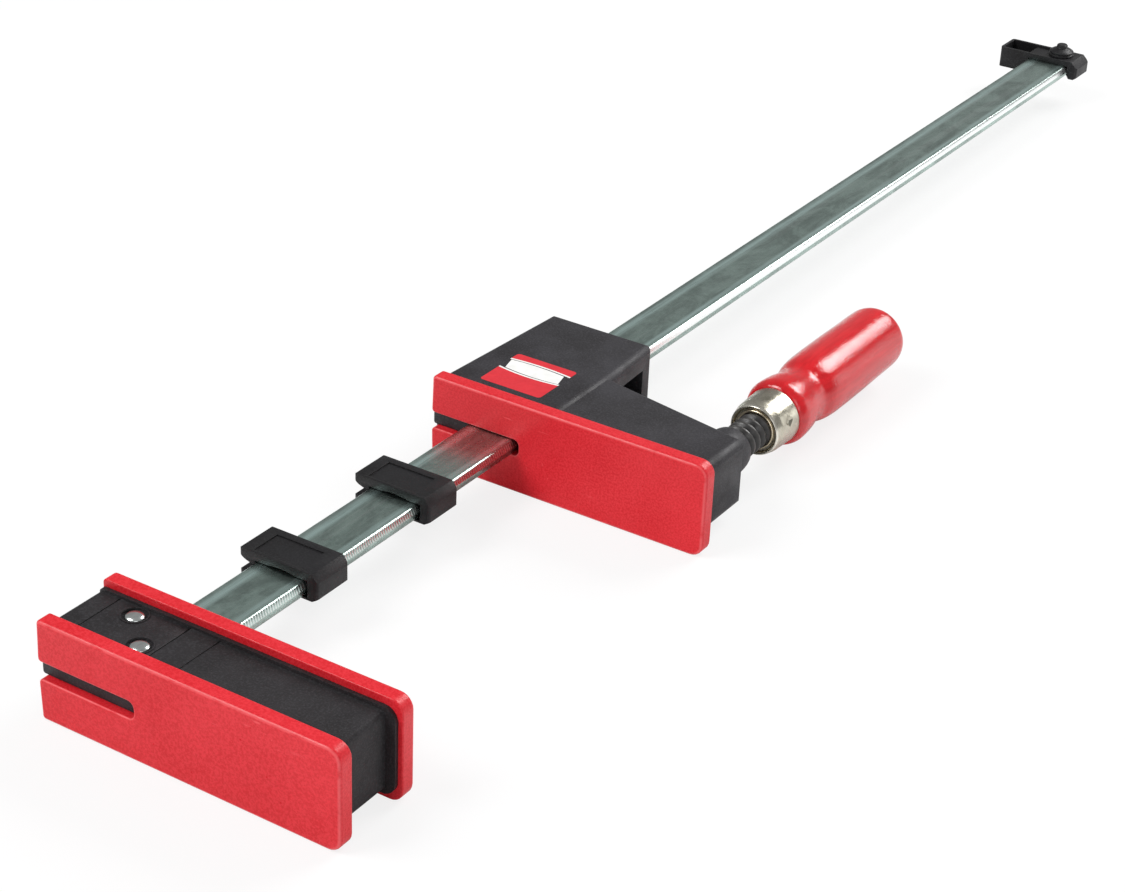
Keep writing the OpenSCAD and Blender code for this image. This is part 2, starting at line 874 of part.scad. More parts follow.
// round boss behind the arm, cut level with the arm's faces and its end
module arm_boss() {
  intersection() {
    turned()
      polygon(concat(
        [[0, moving_back + arm_tip / 2], [boss_radius, moving_back + arm_tip / 2]],
        [
          for (pair = boss_shares)
            [pair[1] * boss_radius, arm_rear_at_spindle + pair[0] * boss_length]
        ],
        [[0, boss_end]]
      ));
    along_y(moving_back, boss_end)
      soft_outline(
        rail_middle, arm_end, -arm_height / 2, arm_height / 2, arm_edge, arm_ridge
      );
  }
}

// outside of the moving housing
module slider_outside() {
  slider_block();
  arm_block();
  arm_boss();
}

// space for the arm core, open towards the pad
module arm_core_space(gap) {
  intersection() {
    along_z(-arm_core_height / 2 - gap, arm_core_height / 2 + gap)
      arm_plan(arm_wall - gap, arm_core_inset - gap);
    block(
      arm_core_start - gap, arm_end, moving_back, slider_rear, -arm_height / 2, arm_height / 2
    );
  }
}

// moulded housing of the moving jaw
module slider_casing() {
  color([0.17, 0.17, 0.18])
    difference() {
      slider_outside();
      rail_way(slide_gap, moving_back - over, slider_rear + over);
      arm_core_space(fixed_gap);
      spindle_bar(nut_radius + fixed_gap, shoe_back, nut_front + nut_length);
      spindle_bar(thread_radius + shoe_gap, shoe_back, boss_end + over);
      block(
        rail_back - plate_reach, slider_front + over, window_front, window_back,
        -window_height / 2, window_height / 2
      );
      block(
        rail_back - plate_reach - fixed_gap, rail_front + plate_reach + fixed_gap,
        plate_middle - plate_thick / 2 - fixed_gap, plate_middle + plate_thick / 2 + fixed_gap,
        -window_height / 2 - plate_seat, window_height / 2 + plate_seat
      );
    }
}

// steel core in the arm, bored for the shoe and the threaded bush
module arm_core() {
  color([0.36, 0.37, 0.38])
    difference() {
      arm_core_space(0);
      block(
        thrust_start - fixed_gap, arm_end, moving_back - over, thrust_back,
        -arm_height / 2, arm_height / 2
      );
      spindle_bar(thread_radius + 2 * shoe_gap, moving_back - over, slider_rear);
      spindle_bar(nut_radius + fixed_gap, nut_front - fixed_gap, slider_rear);
    }
}

// steel plate that the shoe presses on, behind the moving pad
module thrust_plate() {
  color([0.5, 0.51, 0.52])
    block(
      thrust_start, arm_core_end, moving_back, thrust_back,
      -arm_core_height / 2, arm_core_height / 2
    );
}

// steel plate round the rail, seen through the window
module grip_plate() {
  color([0.6, 0.62, 0.6])
    difference() {
      block(
        rail_back - plate_reach, rail_front + plate_reach,
        plate_middle - plate_thick / 2, plate_middle + plate_thick / 2,
        -window_height / 2 - plate_seat, window_height / 2 + plate_seat
      );
      rail_way(slide_gap, plate_middle - plate_thick, plate_middle + plate_thick);
    }
}

// threaded bush that the spindle turns in
module spindle_nut() {
  color([0.55, 0.5, 0.36])
    difference() {
      spindle_bar(nut_radius, nut_front, nut_front + nut_length);
      spindle_bar(thread_radius + turn_gap, nut_front - over, nut_front + nut_length + over);
    }
}

// swivel shoe on the spindle's nose
module pressure_shoe() {
  color([0.5, 0.51, 0.52])
    difference() {
      union() {
        spindle_cone(
          shoe_radius - shoe_bevel, shoe_radius, shoe_front, shoe_front + shoe_bevel
        );
        spindle_bar(shoe_radius, shoe_front + shoe_bevel, shoe_back);
      }
      spindle_bar(nose_radius + turn_gap, shoe_front + 2 * shoe_bevel, shoe_back + over);
      spindle_bar(keeper_radius, shoe_back - keeper_thick, shoe_back + over);
    }
}

// ring pressed into the shoe, which holds it in the groove of the nose
module shoe_keeper() {
  color([0.3, 0.3, 0.31])
    difference() {
      spindle_bar(keeper_radius, shoe_back - keeper_thick, shoe_back);
      spindle_bar(
        nose_radius - keeper_groove + turn_gap, shoe_back - keeper_thick - over, shoe_back + over
      );
    }
}

// spindle: grooved nose, thread and the tang inside the handle
module spindle_screw() {
  groove_front = shoe_back - keeper_thick - turn_gap;
  color([0.2, 0.2, 0.21]) {
    spindle_bar(nose_radius, shoe_front + 2 * shoe_bevel + turn_gap, groove_front);
    spindle_bar(nose_radius - keeper_groove, groove_front - over / 2, thread_front + over);
    spindle_bar(thread_radius, thread_front, thread_back);
    spindle_bar(tang_radius, thread_back - over, tang_back);
  }
}

// drawn steel cup round the front of the handle
module ferrule() {
  rim = ferrule_rim;
  shoulder = ferrule_radius - ferrule_taper;
  y_0 = ferrule_front;
  color([0.72, 0.69, 0.6])
    turned()
      polygon([
        [collar_radius, y_0 + ferrule_dish],
        [rim - 1.8 * ferrule_wall, y_0 + ferrule_dish],
        [rim - 1.2 * ferrule_wall, y_0 + ferrule_wall / 8],
        [rim - ferrule_wall, y_0],
        [rim - ferrule_wall / 2, y_0],
        [rim - ferrule_wall / 6, y_0 + ferrule_wall / 4],
        [rim, y_0 + ferrule_wall],
        [rim + (shoulder - rim) * 0.6, y_0 + ferrule_cone / 2],
        [shoulder, y_0 + ferrule_cone],
        [ferrule_radius, ferrule_back],
        [ferrule_radius - ferrule_wall, ferrule_back],
        [shoulder - ferrule_wall, y_0 + ferrule_cone],
        [rim - ferrule_wall, y_0 + ferrule_dish + ferrule_wall],
        [collar_radius, y_0 + ferrule_dish + ferrule_wall]
      ]);
}

// collar between the thread and the ferrule
module ferrule_collar() {
  color([0.75, 0.62, 0.45])
    turned()
      polygon([
        [thread_radius, ferrule_front + ferrule_dish / 2],
        [collar_radius - ferrule_wall / 2, ferrule_front + ferrule_dish / 2],
        [collar_radius, ferrule_front + ferrule_dish],
        [collar_radius, ferrule_front + collar_length],
        [thread_radius, ferrule_front + collar_length]
      ]);
}

// turned wooden handle with its tenon inside the ferrule
module handle() {
  shoulder = ferrule_radius - ferrule_taper - ferrule_wall;
  tenon = ferrule_radius - ferrule_wall;
  y_tenon = ferrule_front + ferrule_cone;
  color([0.85, 0.1, 0.12])
    turned()
      polygon(concat(
        [
          [tang_radius, tang_back],
          [tang_radius, thread_back],
          [collar_radius, thread_back],
          [shoulder, y_tenon],
          [tenon, ferrule_back]
        ],
        [
          for (pair = handle_shares)
            [pair[1] * handle_radius, ferrule_back + pair[0] * handle_length]
        ],
        [[0, tang_back]]
      ));
}

rail();
fixed_core();
fixed_casing();
outer_pad();
inner_pad();
rivet_inner();
rivet_outer();
end_clip();
end_pin();
near_clip();
far_clip();
slider_casing();
arm_core();
grip_plate();
moving_pad();
thrust_plate();
spindle_nut();
pressure_shoe();
shoe_keeper();
spindle_screw();
ferrule();
ferrule_collar();
handle();
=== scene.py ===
# A parallel bar clamp lying on its side, dressed for a plain studio picture.
# Metres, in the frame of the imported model: rail along +Y, jaws reaching along +X, +Z up.
import math

import bmesh
import bpy
import numpy as np
from mathutils import Matrix, Vector


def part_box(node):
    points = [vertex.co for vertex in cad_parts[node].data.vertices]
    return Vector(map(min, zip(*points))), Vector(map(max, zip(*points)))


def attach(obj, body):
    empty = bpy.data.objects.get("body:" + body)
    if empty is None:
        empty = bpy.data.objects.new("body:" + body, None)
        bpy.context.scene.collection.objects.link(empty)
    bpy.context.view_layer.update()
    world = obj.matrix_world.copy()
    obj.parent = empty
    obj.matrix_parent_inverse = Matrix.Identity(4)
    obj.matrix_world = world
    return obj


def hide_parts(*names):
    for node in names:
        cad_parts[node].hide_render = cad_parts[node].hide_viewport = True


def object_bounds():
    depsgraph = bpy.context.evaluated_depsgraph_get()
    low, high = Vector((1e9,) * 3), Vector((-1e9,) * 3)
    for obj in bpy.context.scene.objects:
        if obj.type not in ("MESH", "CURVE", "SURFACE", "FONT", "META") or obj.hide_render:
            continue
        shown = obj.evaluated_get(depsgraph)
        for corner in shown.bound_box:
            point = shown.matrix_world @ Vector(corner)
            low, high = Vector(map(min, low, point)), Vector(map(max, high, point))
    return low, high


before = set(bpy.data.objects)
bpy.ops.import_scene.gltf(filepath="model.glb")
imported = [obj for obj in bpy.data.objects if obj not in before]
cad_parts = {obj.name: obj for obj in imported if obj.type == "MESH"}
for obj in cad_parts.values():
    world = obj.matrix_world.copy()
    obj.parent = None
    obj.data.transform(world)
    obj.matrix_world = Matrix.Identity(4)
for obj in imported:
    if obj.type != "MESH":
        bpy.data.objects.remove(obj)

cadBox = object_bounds()
mm = 0.001
tau = 2 * math.pi
weld = 1e-7  # points nearer than this are one
hair = 0.01 * mm  # the least radius or step
inside = 0.999  # the share of its CAD radius that a turned piece keeps

# The photograph's camera: place in metres, angles in degrees, lens and sensor in millimetres.
camera = {
    "place": (0.41922, -0.49855, 0.43885), "azimuth": 31.951, "elevation": 28.499, "roll": 2.495,
    "lens": 78.657, "sensor": 36.0, "near": 0.01, "far": 30,
}


# An object for some data, put in the scene.
def newObject(name, data):
    obj = bpy.data.objects.new(name, data)
    bpy.context.collection.objects.link(obj)
    return obj


# The camera is rolled, tilted up from looking straight down, and then turned about the upright axis.
def makeCamera(spec):
    data = bpy.data.cameras.new("clampCamera")
    data.lens = spec["lens"]
    data.sensor_width = spec["sensor"]
    data.clip_start = spec["near"]
    data.clip_end = spec["far"]
    cam = newObject("clampCamera", data)
    turn = (
        Matrix.Rotation(math.radians(spec["azimuth"]), 4, "Z")
        @ Matrix.Rotation(math.radians(90 - spec["elevation"]), 4, "X")
        @ Matrix.Rotation(math.radians(spec["roll"]), 4, "Z")
    )
    cam.matrix_world = Matrix.Translation(spec["place"]) @ turn
    bpy.context.scene.camera = cam


makeCamera(camera)
print("camera placed")


# The places below come from the boxes of the CAD nodes.
boxes = {name: (np.array(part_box(name)[0]), np.array(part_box(name)[1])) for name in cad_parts}
railLow, railHigh = boxes["rail"]
spindleX = (boxes["handle"][0][0] + boxes["handle"][1][0]) / 2
jawPlace = boxes["slider_casing"][0][1]


# Half a turned node's width, kept just inside it.
def turnedRadius(node):
    low, high = boxes[node]
    return (high[0] - low[0]) / 2 * inside


# Quads of a tube: rings of points, each closed round and joined to the next.
def tubeFaces(rings, columns):
    index = np.arange(rings * columns).reshape(rings, columns)
    ahead = np.roll(index, -1, 1)
    return np.stack([index[:-1], ahead[:-1], ahead[1:], index[1:]], -1).reshape(-1, 4)


# A tube whose first and last rings are each closed by one polygon.
def closedTube(points):
    rings, columns = points.shape[:2]
    faces = list(tubeFaces(rings, columns))
    faces.append(np.arange(columns)[::-1])
    faces.append(np.arange(columns) + (rings - 1) * columns)
    return points.reshape(-1, 3), faces


# Points and faces become an object: doubles are merged, faces turned outwards, and edges that turn by
# more than sharpDegrees stay sharp. It rides on its body and fills its material slot.
def makeObject(name, points, faces, body, slotName, finish, sharpDegrees):
    mesh = bpy.data.meshes.new(name)
    mesh.from_pydata(np.asarray(points).reshape(-1, 3).tolist(), [], [list(map(int, f)) for f in faces])
    mesh.validate()
    work = bmesh.new()
    work.from_mesh(mesh)
    bmesh.ops.remove_doubles(work, verts=work.verts, dist=weld)
    bmesh.ops.recalc_face_normals(work, faces=work.faces)
    work.to_mesh(mesh)
    work.free()
    mesh.shade_smooth()
    mesh.set_sharp_from_angle(angle=math.radians(sharpDegrees))
    obj = newObject(name, mesh)
    mesh.materials.append(finishes[finish])
    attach(obj, body)
    return obj


# Corner points of an outline become arcs: each corner is cut back by radius * tan(half the turn) and
# joined by an arc. A guard point a little before and after it keeps the flats flat.
fillet = {"sideShare": 0.48, "spareShare": 0.3, "leastTurn": 1e-3}


def filletOutline(corners, radii, steps=5, closed=True, guard=0.35):
    corners = np.asarray(corners, float)
    count = len(corners)
    out = []
    for i in range(count):
        p = corners[i]
        if not closed and i in (0, count - 1):
            out.append(p)
            continue
        before, after = corners[i - 1] - p, corners[(i + 1) % count] - p
        lengths = np.linalg.norm(before), np.linalg.norm(after)
        before, after = before / lengths[0], after / lengths[1]
        turn = math.pi - math.acos(max(-1.0, min(1.0, float(before @ after))))
        radius = radii[i] if np.ndim(radii) else radii
        if radius <= 0 or turn < fillet["leastTurn"]:
            out.append(p)
            continue
        cut = min(radius * math.tan(turn / 2), fillet["sideShare"] * min(lengths))
        radius = cut / math.tan(turn / 2)
        start = p + before * cut
        end = p + after * cut
        middle = p + (before + after) / np.linalg.norm(before + after) * radius / math.cos(turn / 2)
        extra = min(guard * radius, fillet["spareShare"] * (min(lengths) / 2 - cut))
        if extra > weld:
            out.append(start + before * extra)
        t = np.linspace(0, 1, steps + 1)[:, None]
        arc = np.sin((1 - t) * turn) * (start - middle) + np.sin(t * turn) * (end - middle)
        out.extend(middle + arc / math.sin(turn))
        if extra > weld:
            out.append(end + after * extra)
    return np.array(out)


# Outward normals of a closed outline: square to the mean of the chords beside each point, and longer at
# a corner, by one over the cosine of half its turn, so that an inset keeps its distance from both sides.
def outlineNormals(outline):
    tiny, leastHalf = 1e-12, 0.2
    step = np.roll(outline, -1, 0) - outline
    step /= np.maximum(np.linalg.norm(step, axis=1, keepdims=True), tiny)
    along = step + np.roll(step, 1, 0)
    along /= np.maximum(np.linalg.norm(along, axis=1, keepdims=True), tiny)
    half = np.sqrt(np.maximum((1 + np.sum(step * np.roll(step, 1, 0), 1)) / 2, leastHalf))
    area = np.sum(outline[:, 0] * np.roll(outline[:, 1], -1) - np.roll(outline[:, 0], -1) * outline[:, 1])
    side = 1.0 if area > 0 else -1.0
    return side * np.stack([along[:, 1], -along[:, 0]], 1) / half[:, None]


# A plate: the outline (two coordinates) is carried through its thickness. At each face it draws in
# along a quarter circle of the given edge radius; both faces are closed by one flat polygon.
plate = {"faceInset": 0.3 * mm, "straightFrom": 1.25}


def plateSurface(outline, low, high, edgeLow, edgeHigh, steps):
    normals = outlineNormals(outline)
    angle = np.linspace(0, math.pi / 2, steps + 1)

    def ring(inset, level):
        flat = outline - normals * np.reshape(inset, (-1, 1))
        return np.concatenate([flat, np.reshape(level + 0 * inset, (-1, 1))], 1)

    rings = []
    for edge, face, way in ((edgeLow, low, 1), (edgeHigh, high, -1)):
        edge = np.broadcast_to(np.asarray(edge, float), (len(outline),))
        part = [ring(edge + plate["faceInset"], face)]
        part += [ring(edge * (1 - math.sin(a)), face + way * edge * (1 - math.cos(a))) for a in angle]
        part.append(ring(0 * edge, face + way * plate["straightFrom"] * edge))
        rings += part[::way]
    return closedTube(np.array(rings))


# A profile of (radius, place along the axis) rows is spun: each radius times the cosine and the sine of
# every column's angle.
def spin(profile, columns):
    profile = np.asarray(profile, float)
    angle = np.arange(columns) / columns * tau
    place = np.repeat(profile[:, 1:2], columns, 1)
    return profile[:, :1] * np.cos(angle), profile[:, :1] * np.sin(angle), place


def spinOnSpindle(profile, columns):
    across, up, along = spin(profile, columns)
    return np.stack([spindleX + across, along, up], -1), tubeFaces(len(profile), columns)


def spinUpright(profile, columns, middle):
    across, along, up = spin(profile, columns)
    points = np.stack([middle[0] + across, middle[1] + along, up], -1)
    return points, tubeFaces(len(profile), columns)


# Angle about the spindle's axis and distance from it, and points moved to a share of that distance.
def aroundSpindle(grid):
    across = grid[..., 0] - spindleX
    return np.arctan2(grid[..., 2], across), np.hypot(grid[..., 2], across)


def scaleAround(grid, share):
    grid[..., 0] = spindleX + (grid[..., 0] - spindleX) * share
    grid[..., 2] *= share


# A small layer over node trees, so that a material reads as a short list of steps.
class Tree:
    def __init__(self, nodeTree):
        self.tree = nodeTree
        nodeTree.nodes.clear()

    def add(self, kind, **settings):
        made = self.tree.nodes.new(kind)
        for key, value in settings.items():
            setattr(made, key, value)
        return made

    def join(self, source, target):
        self.tree.links.new(source, target)

    # A number or a colour is set on a socket, and another node's output is joined to it.
    def give(self, socket, value):
        if isinstance(value, bpy.types.NodeSocket):
            self.join(value, socket)
        else:
            socket.default_value = (*value, 1.0) if isinstance(value, tuple) else value

    def noise(self, vector, scale, detail=3.0, roughness=0.55, distortion=0.0):
        made = self.add("ShaderNodeTexNoise")
        keys = ("Vector", "Scale", "Detail", "Roughness", "Distortion")
        for key, value in zip(keys, (vector, scale, detail, roughness, distortion)):
            self.give(made.inputs[key], value)
        return made.outputs["Fac"]

    # A value between low and high becomes one between outLow and outHigh, with a smooth start and end.
    def ramp(self, value, low, high, outLow=0.0, outHigh=1.0):
        made = self.add("ShaderNodeMapRange", interpolation_type="SMOOTHSTEP")
        keys = ("Value", "From Min", "From Max", "To Min", "To Max")
        for key, number in zip(keys, (value, low, high, outLow, outHigh)):
            self.give(made.inputs[key], number)
        return made.outputs["Result"]

    def math(self, operation, *values):
        made = self.add("ShaderNodeMath", operation=operation)
        for socket, value in zip(made.inputs, values):
            self.give(socket, value)
        return made.outputs[0]

    # Two values in shares that make one: a * (1 - share) + b * share.
    def blend(self, a, b, share):
        return self.math("ADD", self.math("MULTIPLY", a, 1 - share), self.math("MULTIPLY", b, share))

    def mix(self, mask, a, b):
        made = self.add("ShaderNodeMix", data_type="RGBA")
        for socket, value in zip((made.inputs[0], made.inputs[6], made.inputs[7]), (mask, a, b)):
            self.give(socket, value)
        return made.outputs[2]

    def stretched(self, vector, scale, turn=(0, 0, 0)):
        made = self.add("ShaderNodeMapping")
        made.inputs["Scale"].default_value = scale
        made.inputs["Rotation"].default_value = turn
        self.join(vector, made.inputs["Vector"])
        return made.outputs["Vector"]


# A group with a vector and named numbers going in, and one number coming out.
def newGroup(name, output, **numbers):
    group = bpy.data.node_groups.new(name, "ShaderNodeTree")
    group.interface.new_socket("Vector", in_out="INPUT", socket_type="NodeSocketVector")
    for label, value in numbers.items():
        made = group.interface.new_socket(label, in_out="INPUT", socket_type="NodeSocketFloat")
        made.default_value = value
    group.interface.new_socket(output, in_out="OUTPUT", socket_type="NodeSocketFloat")
    tree = Tree(group)
    return group, tree, tree.add("NodeGroupInput").outputs, tree.add("NodeGroupOutput").inputs[output]


# Moulded grain: fine noise on top of a slow swell, for the height of a bump.
grain = {"fineDetail": 3.0, "slowDetail": 2.0, "slowShare": 0.6}


def buildGrainGroup(spec):
    group, tree, given, result = newGroup("mouldedGrain", "Height", Fine=900.0, Slow=60.0)
    fine = tree.noise(given["Vector"], given["Fine"], spec["fineDetail"])
    slow = tree.noise(given["Vector"], given["Slow"], spec["slowDetail"])
    tree.join(tree.math("ADD", fine, tree.math("MULTIPLY", slow, spec["slowShare"])), result)
    return group


# Scuffs: long thin noise in two directions, kept only in scattered patches.
scuffs = {
    "first": ((90, 1400, 900), (0.2, 0.1, 0.5), 0.66, 0.74),  # stretch, turn, and the levels kept
    "second": ((1300, 80, 500), (0.1, 0.4, -0.3), 0.68, 0.76),
    "detail": 2.0, "patch": (38.0, 3.0), "patchRange": (0.52, 0.68),
}


def buildScuffGroup(spec):
    group, tree, given, result = newGroup("scuffMarks", "Mask", Amount=0.5)

    def scratches(stretch, turn, low, high):
        vector = tree.stretched(given["Vector"], stretch, turn)
        return tree.ramp(tree.noise(vector, 1.0, spec["detail"]), low, high)

    lines = tree.math("MAXIMUM", scratches(*spec["first"]), scratches(*spec["second"]))
    patch = tree.ramp(tree.noise(given["Vector"], *spec["patch"]), *spec["patchRange"])
    tree.join(tree.math("MULTIPLY", tree.math("MULTIPLY", lines, patch), given["Amount"]), result)
    return group


# Worn edges and painted highlights: the mesh's own edge attribute, broken up by noise. The attribute marks
# rubbed edges on some pieces and highlight lines painted into the colour on others.
wearAndGlint = {"noise": (4.0, 0.6), "range": (0.0, 0.25)}


def buildWearAndGlintGroup(spec):
    group, tree, given, result = newGroup("wornAndGlintEdges", "Mask", Scale=250.0, Keep=0.4)
    edge = tree.add("ShaderNodeAttribute", attribute_name="edge")
    noise = tree.noise(given["Vector"], given["Scale"], *spec["noise"])
    kept = tree.ramp(tree.math("SUBTRACT", noise, given["Keep"]), *spec["range"])
    tree.join(tree.math("MULTIPLY", edge.outputs["Fac"], kept), result)
    return group


grainGroup = buildGrainGroup(grain)
scuffGroup = buildScuffGroup(scuffs)
wearAndGlintGroup = buildWearAndGlintGroup(wearAndGlint)


# A material on the piece's own coordinates. In the dictionaries below a noise is (scale, detail,
# roughness, distortion); a cloud is a noise, the levels it is read between and a stretch; a sheen is a
# noise and the two changes to the roughness; a skin is the moulded grain's fine and slow scale and the
# bump's strength and distance.
class Finish(Tree):
    def __init__(self, name, roughness, metallic=0.0, **constants):
        self.rough = roughness
        self.material = bpy.data.materials.new(name)
        self.material.use_nodes = True
        super().__init__(self.material.node_tree)
        self.shader = self.add("ShaderNodeBsdfPrincipled")
        self.join(self.shader.outputs[0], self.add("ShaderNodeOutputMaterial").inputs["Surface"])
        self.shader.inputs["Roughness"].default_value = roughness
        self.shader.inputs["Metallic"].default_value = metallic
        for key, value in constants.items():
            self.shader.inputs[key.replace("_", " ")].default_value = value
        self.place = self.add("ShaderNodeTexCoord").outputs["Object"]

    def effect(self, group, **values):
        made = self.add("ShaderNodeGroup", node_tree=group)
        self.join(self.place, made.inputs["Vector"])
        for key, value in values.items():
            made.inputs[key].default_value = value
        return made.outputs[0]

    def cloud(self, noise, levels, stretch=None):
        vector = self.stretched(self.place, stretch) if stretch else self.place
        return self.ramp(self.noise(vector, *noise), *levels)

    def feed(self, socket, source):
        self.give(self.shader.inputs[socket], source)

    def bump(self, height, strength, distance):
        made = self.add("ShaderNodeBump")
        made.inputs["Strength"].default_value = strength
        made.inputs["Distance"].default_value = distance
        self.join(height, made.inputs["Height"])
        self.feed("Normal", made.outputs["Normal"])

    def skin(self, fine, slow, strength, distance):
        self.bump(self.effect(grainGroup, Fine=fine, Slow=slow), strength, distance)

    # The roughness wanders with noise from its own value plus one change to its value plus another.
    def finished(self, spec):
        noise, least, most = spec["sheen"]
        wander = self.noise(self.place, *noise)
        self.feed("Roughness", self.ramp(wander, 0.2, 0.8, self.rough + least, self.rough + most))
        self.skin(*spec["skin"])
        return self.material


# Red pads: slick moulded plastic, speckled and faintly swelling, with pale scuffs and a painted highlight line
# along the front edges.
padFinish = {
    "colour": (0.73, 0.030, 0.042), "deep": (0.58, 0.007, 0.014), "rubbed": (0.82, 0.12, 0.13),
    "swell": ((26.0, 3.0), (0.35, 0.65)), "speck": ((1200.0, 2.0, 0.7), (0.36, 0.64)), "speckShare": 0.7,
    "scuff": 0.5, "wearAndGlint": {"Scale": 140.0, "Keep": 0.25}, "edgeGlintShare": 0.8,
    "rough": 0.42, "specular": 0.3,
    "sheen": ((420.0, 4.0), -0.15, -0.02), "skin": (1500.0, 90.0, 0.12, 0.0004),
}


def buildPadFinish(spec):
    f = Finish("redPad", spec["rough"], Specular_IOR_Level=spec["specular"])
    tone = f.blend(f.cloud(*spec["swell"]), f.cloud(*spec["speck"]), spec["speckShare"])
    base = f.mix(tone, spec["deep"], spec["colour"])
    scuff = f.effect(scuffGroup, Amount=spec["scuff"])
    # The edge attribute here is a painted highlight: a pale line along the front's rounding, in the scuffs'
    # colour.
    wornAndGlint = f.effect(wearAndGlintGroup, **spec["wearAndGlint"])
    mask = f.math("MAXIMUM", scuff, f.math("MULTIPLY", wornAndGlint, spec["edgeGlintShare"]))
    f.feed("Base Color", f.mix(mask, base, spec["rubbed"]))
    return f.finished(spec)


# Glass-filled black nylon: charcoal with a cloudy fibre sheen, pale flecks and a fine pebbled skin.
nylon = {
    "cloud": ((45.0, 5.0, 0.65), (0.3, 0.7)), "fleck": ((1300.0, 3.0, 0.7), (0.46, 0.66)),
    "scuff": 0.35, "wearAndGlint": {"Scale": 220.0, "Keep": 0.35}, "wornShare": 0.5,
    "specular": 0.3, "sheen": ((120.0, 4.0), -0.09, 0.1), "skin": (2200.0, 160.0, 0.3, 0.0003),
}
nylonShades = {
    "blackNylon": {
        "colour": (0.031, 0.0295, 0.034), "dark": (0.015, 0.0135, 0.0155), "rubbed": (0.12, 0.118, 0.13),
        "fleck": 0.2, "rough": 0.5,
    },
    "fixedNylon": {
        "colour": (0.0205, 0.0185, 0.0205), "dark": (0.010, 0.009, 0.010), "rubbed": (0.11, 0.108, 0.12),
        "fleck": 0.16, "rough": 0.5,
    },
    "clipNylon": {
        "colour": (0.009, 0.0085, 0.010), "dark": (0.004, 0.0035, 0.004), "rubbed": (0.07, 0.07, 0.075),
        "fleck": 0.12, "rough": 0.45,
    },
}


def buildNylonFinish(name, spec):
    shade = nylonShades[name]
    f = Finish(name, shade["rough"], Specular_IOR_Level=spec["specular"])
    base = f.mix(f.cloud(*spec["cloud"]), shade["dark"], shade["colour"])
    base = f.mix(f.math("MULTIPLY", f.cloud(*spec["fleck"]), shade["fleck"]), base, shade["rubbed"])
    edges = f.effect(wearAndGlintGroup, **spec["wearAndGlint"])
    wornAndGlint = f.math("MAXIMUM", edges, f.effect(scuffGroup, Amount=spec["scuff"]))
    f.feed("Base Color", f.mix(f.math("MULTIPLY", wornAndGlint, spec["wornShare"]), base, shade["rubbed"]))
    return f.finished(spec)


# Zinc-plated steel: grey-green passivation in blotches, specks, faint drawn lines, and a painted highlight in
# the bright shade where the edge attribute is set.
zinc = {
    "blotch": (1.0, 8.0, 0.72, 0.9), "blotchStretch": (75, 34, 75), "blotchTurn": (0, 0, 0.12),
    "blotchRange": (0.36, 0.64), "speck": ((1100.0, 3.0, 0.7), (0.32, 0.68)), "speckShare": 0.17,
    "fine": ((1.0, 3.0), (0.4, 0.8), (1100, 9, 900)),
    "wide": ((1.0, 2.0), (0.5, 0.72), (330, 4, 330)), "wideShare": 0.6,
    "wearAndGlint": {"Scale": 90.0, "Keep": 0.0},
    "sheen": (420.0, 4.0), "sheenRange": (0.7, 1.3), "rougher": 0.03, "smoother": 0.02,
    "skin": (1200.0, 130.0, 0.05, 0.0001),
}
railZinc = {
    "colour": (0.44, 0.575, 0.525), "dark": (0.225, 0.295, 0.27), "bright": (0.86, 0.90, 0.89),
    "streak": 0.2, "rough": 0.27, "pale": (0.70, 0.92, 0.88),
}
rivetZinc = {
    "colour": (0.72, 0.75, 0.74), "dark": (0.50, 0.53, 0.52), "bright": (0.88, 0.90, 0.89),
    "streak": 0.0, "rough": 0.24,
}

# Pale bands along the rail: each is strongest at its share of the rail's width, falls to nothing at its
# half width, and is broken up by noise drawn out along the rail.
bands = {
    "places": ((0.18, 0.13), (0.86, 0.09)), "share": 0.9,  # place and half width, in rail widths
    "broken": ((1.0, 4.0, 0.7), (0.3, 0.6, 0.35, 1.0), (700, 22, 700)),
}


def paleBands(f, spec):
    across = f.add("ShaderNodeSeparateXYZ")
    f.join(f.place, across.inputs[0])
    width = float(railHigh[0] - railLow[0])
    mask = 0.0
    for middle, half in spec["places"]:
        offset = f.math("SUBTRACT", across.outputs["X"], float(railLow[0]) + middle * width)
        band = f.ramp(f.math("ABSOLUTE", offset), 0.0, half * width, 1.0, 0.0)
        mask = f.math("MAXIMUM", mask, band)
    return f.math("MULTIPLY", f.math("MULTIPLY", mask, f.cloud(*spec["broken"])), spec["share"])


def buildZincFinish(name, shade, spec):
    f = Finish(name, shade["rough"], 1.0)
    blotch = f.noise(f.stretched(f.place, spec["blotchStretch"], spec["blotchTurn"]), *spec["blotch"])
    tone = f.blend(f.ramp(blotch, *spec["blotchRange"]), f.cloud(*spec["speck"]), spec["speckShare"])
    base = f.mix(tone, shade["dark"], shade["colour"])
    drawn = f.blend(f.cloud(*spec["fine"]), f.cloud(*spec["wide"]), spec["wideShare"])
    base = f.mix(f.math("MULTIPLY", drawn, shade["streak"]), base, shade["bright"])
    if "pale" in shade:
        base = f.mix(paleBands(f, bands), base, shade["pale"])
    # The edge attribute takes the bright shade: on the rail a painted highlight along the throat side, with
    # tooth crests that are partly rubbed.
    f.feed("Base Color", f.mix(f.effect(wearAndGlintGroup, **spec["wearAndGlint"]), base, shade["bright"]))
    uneven = f.math("ADD", blotch, f.noise(f.place, *spec["sheen"]))
    ends = (shade["rough"] + spec["rougher"], shade["rough"] - spec["smoother"])
    f.feed("Roughness", f.ramp(uneven, *spec["sheenRange"], *ends))
    f.skin(*spec["skin"])
    return f.material


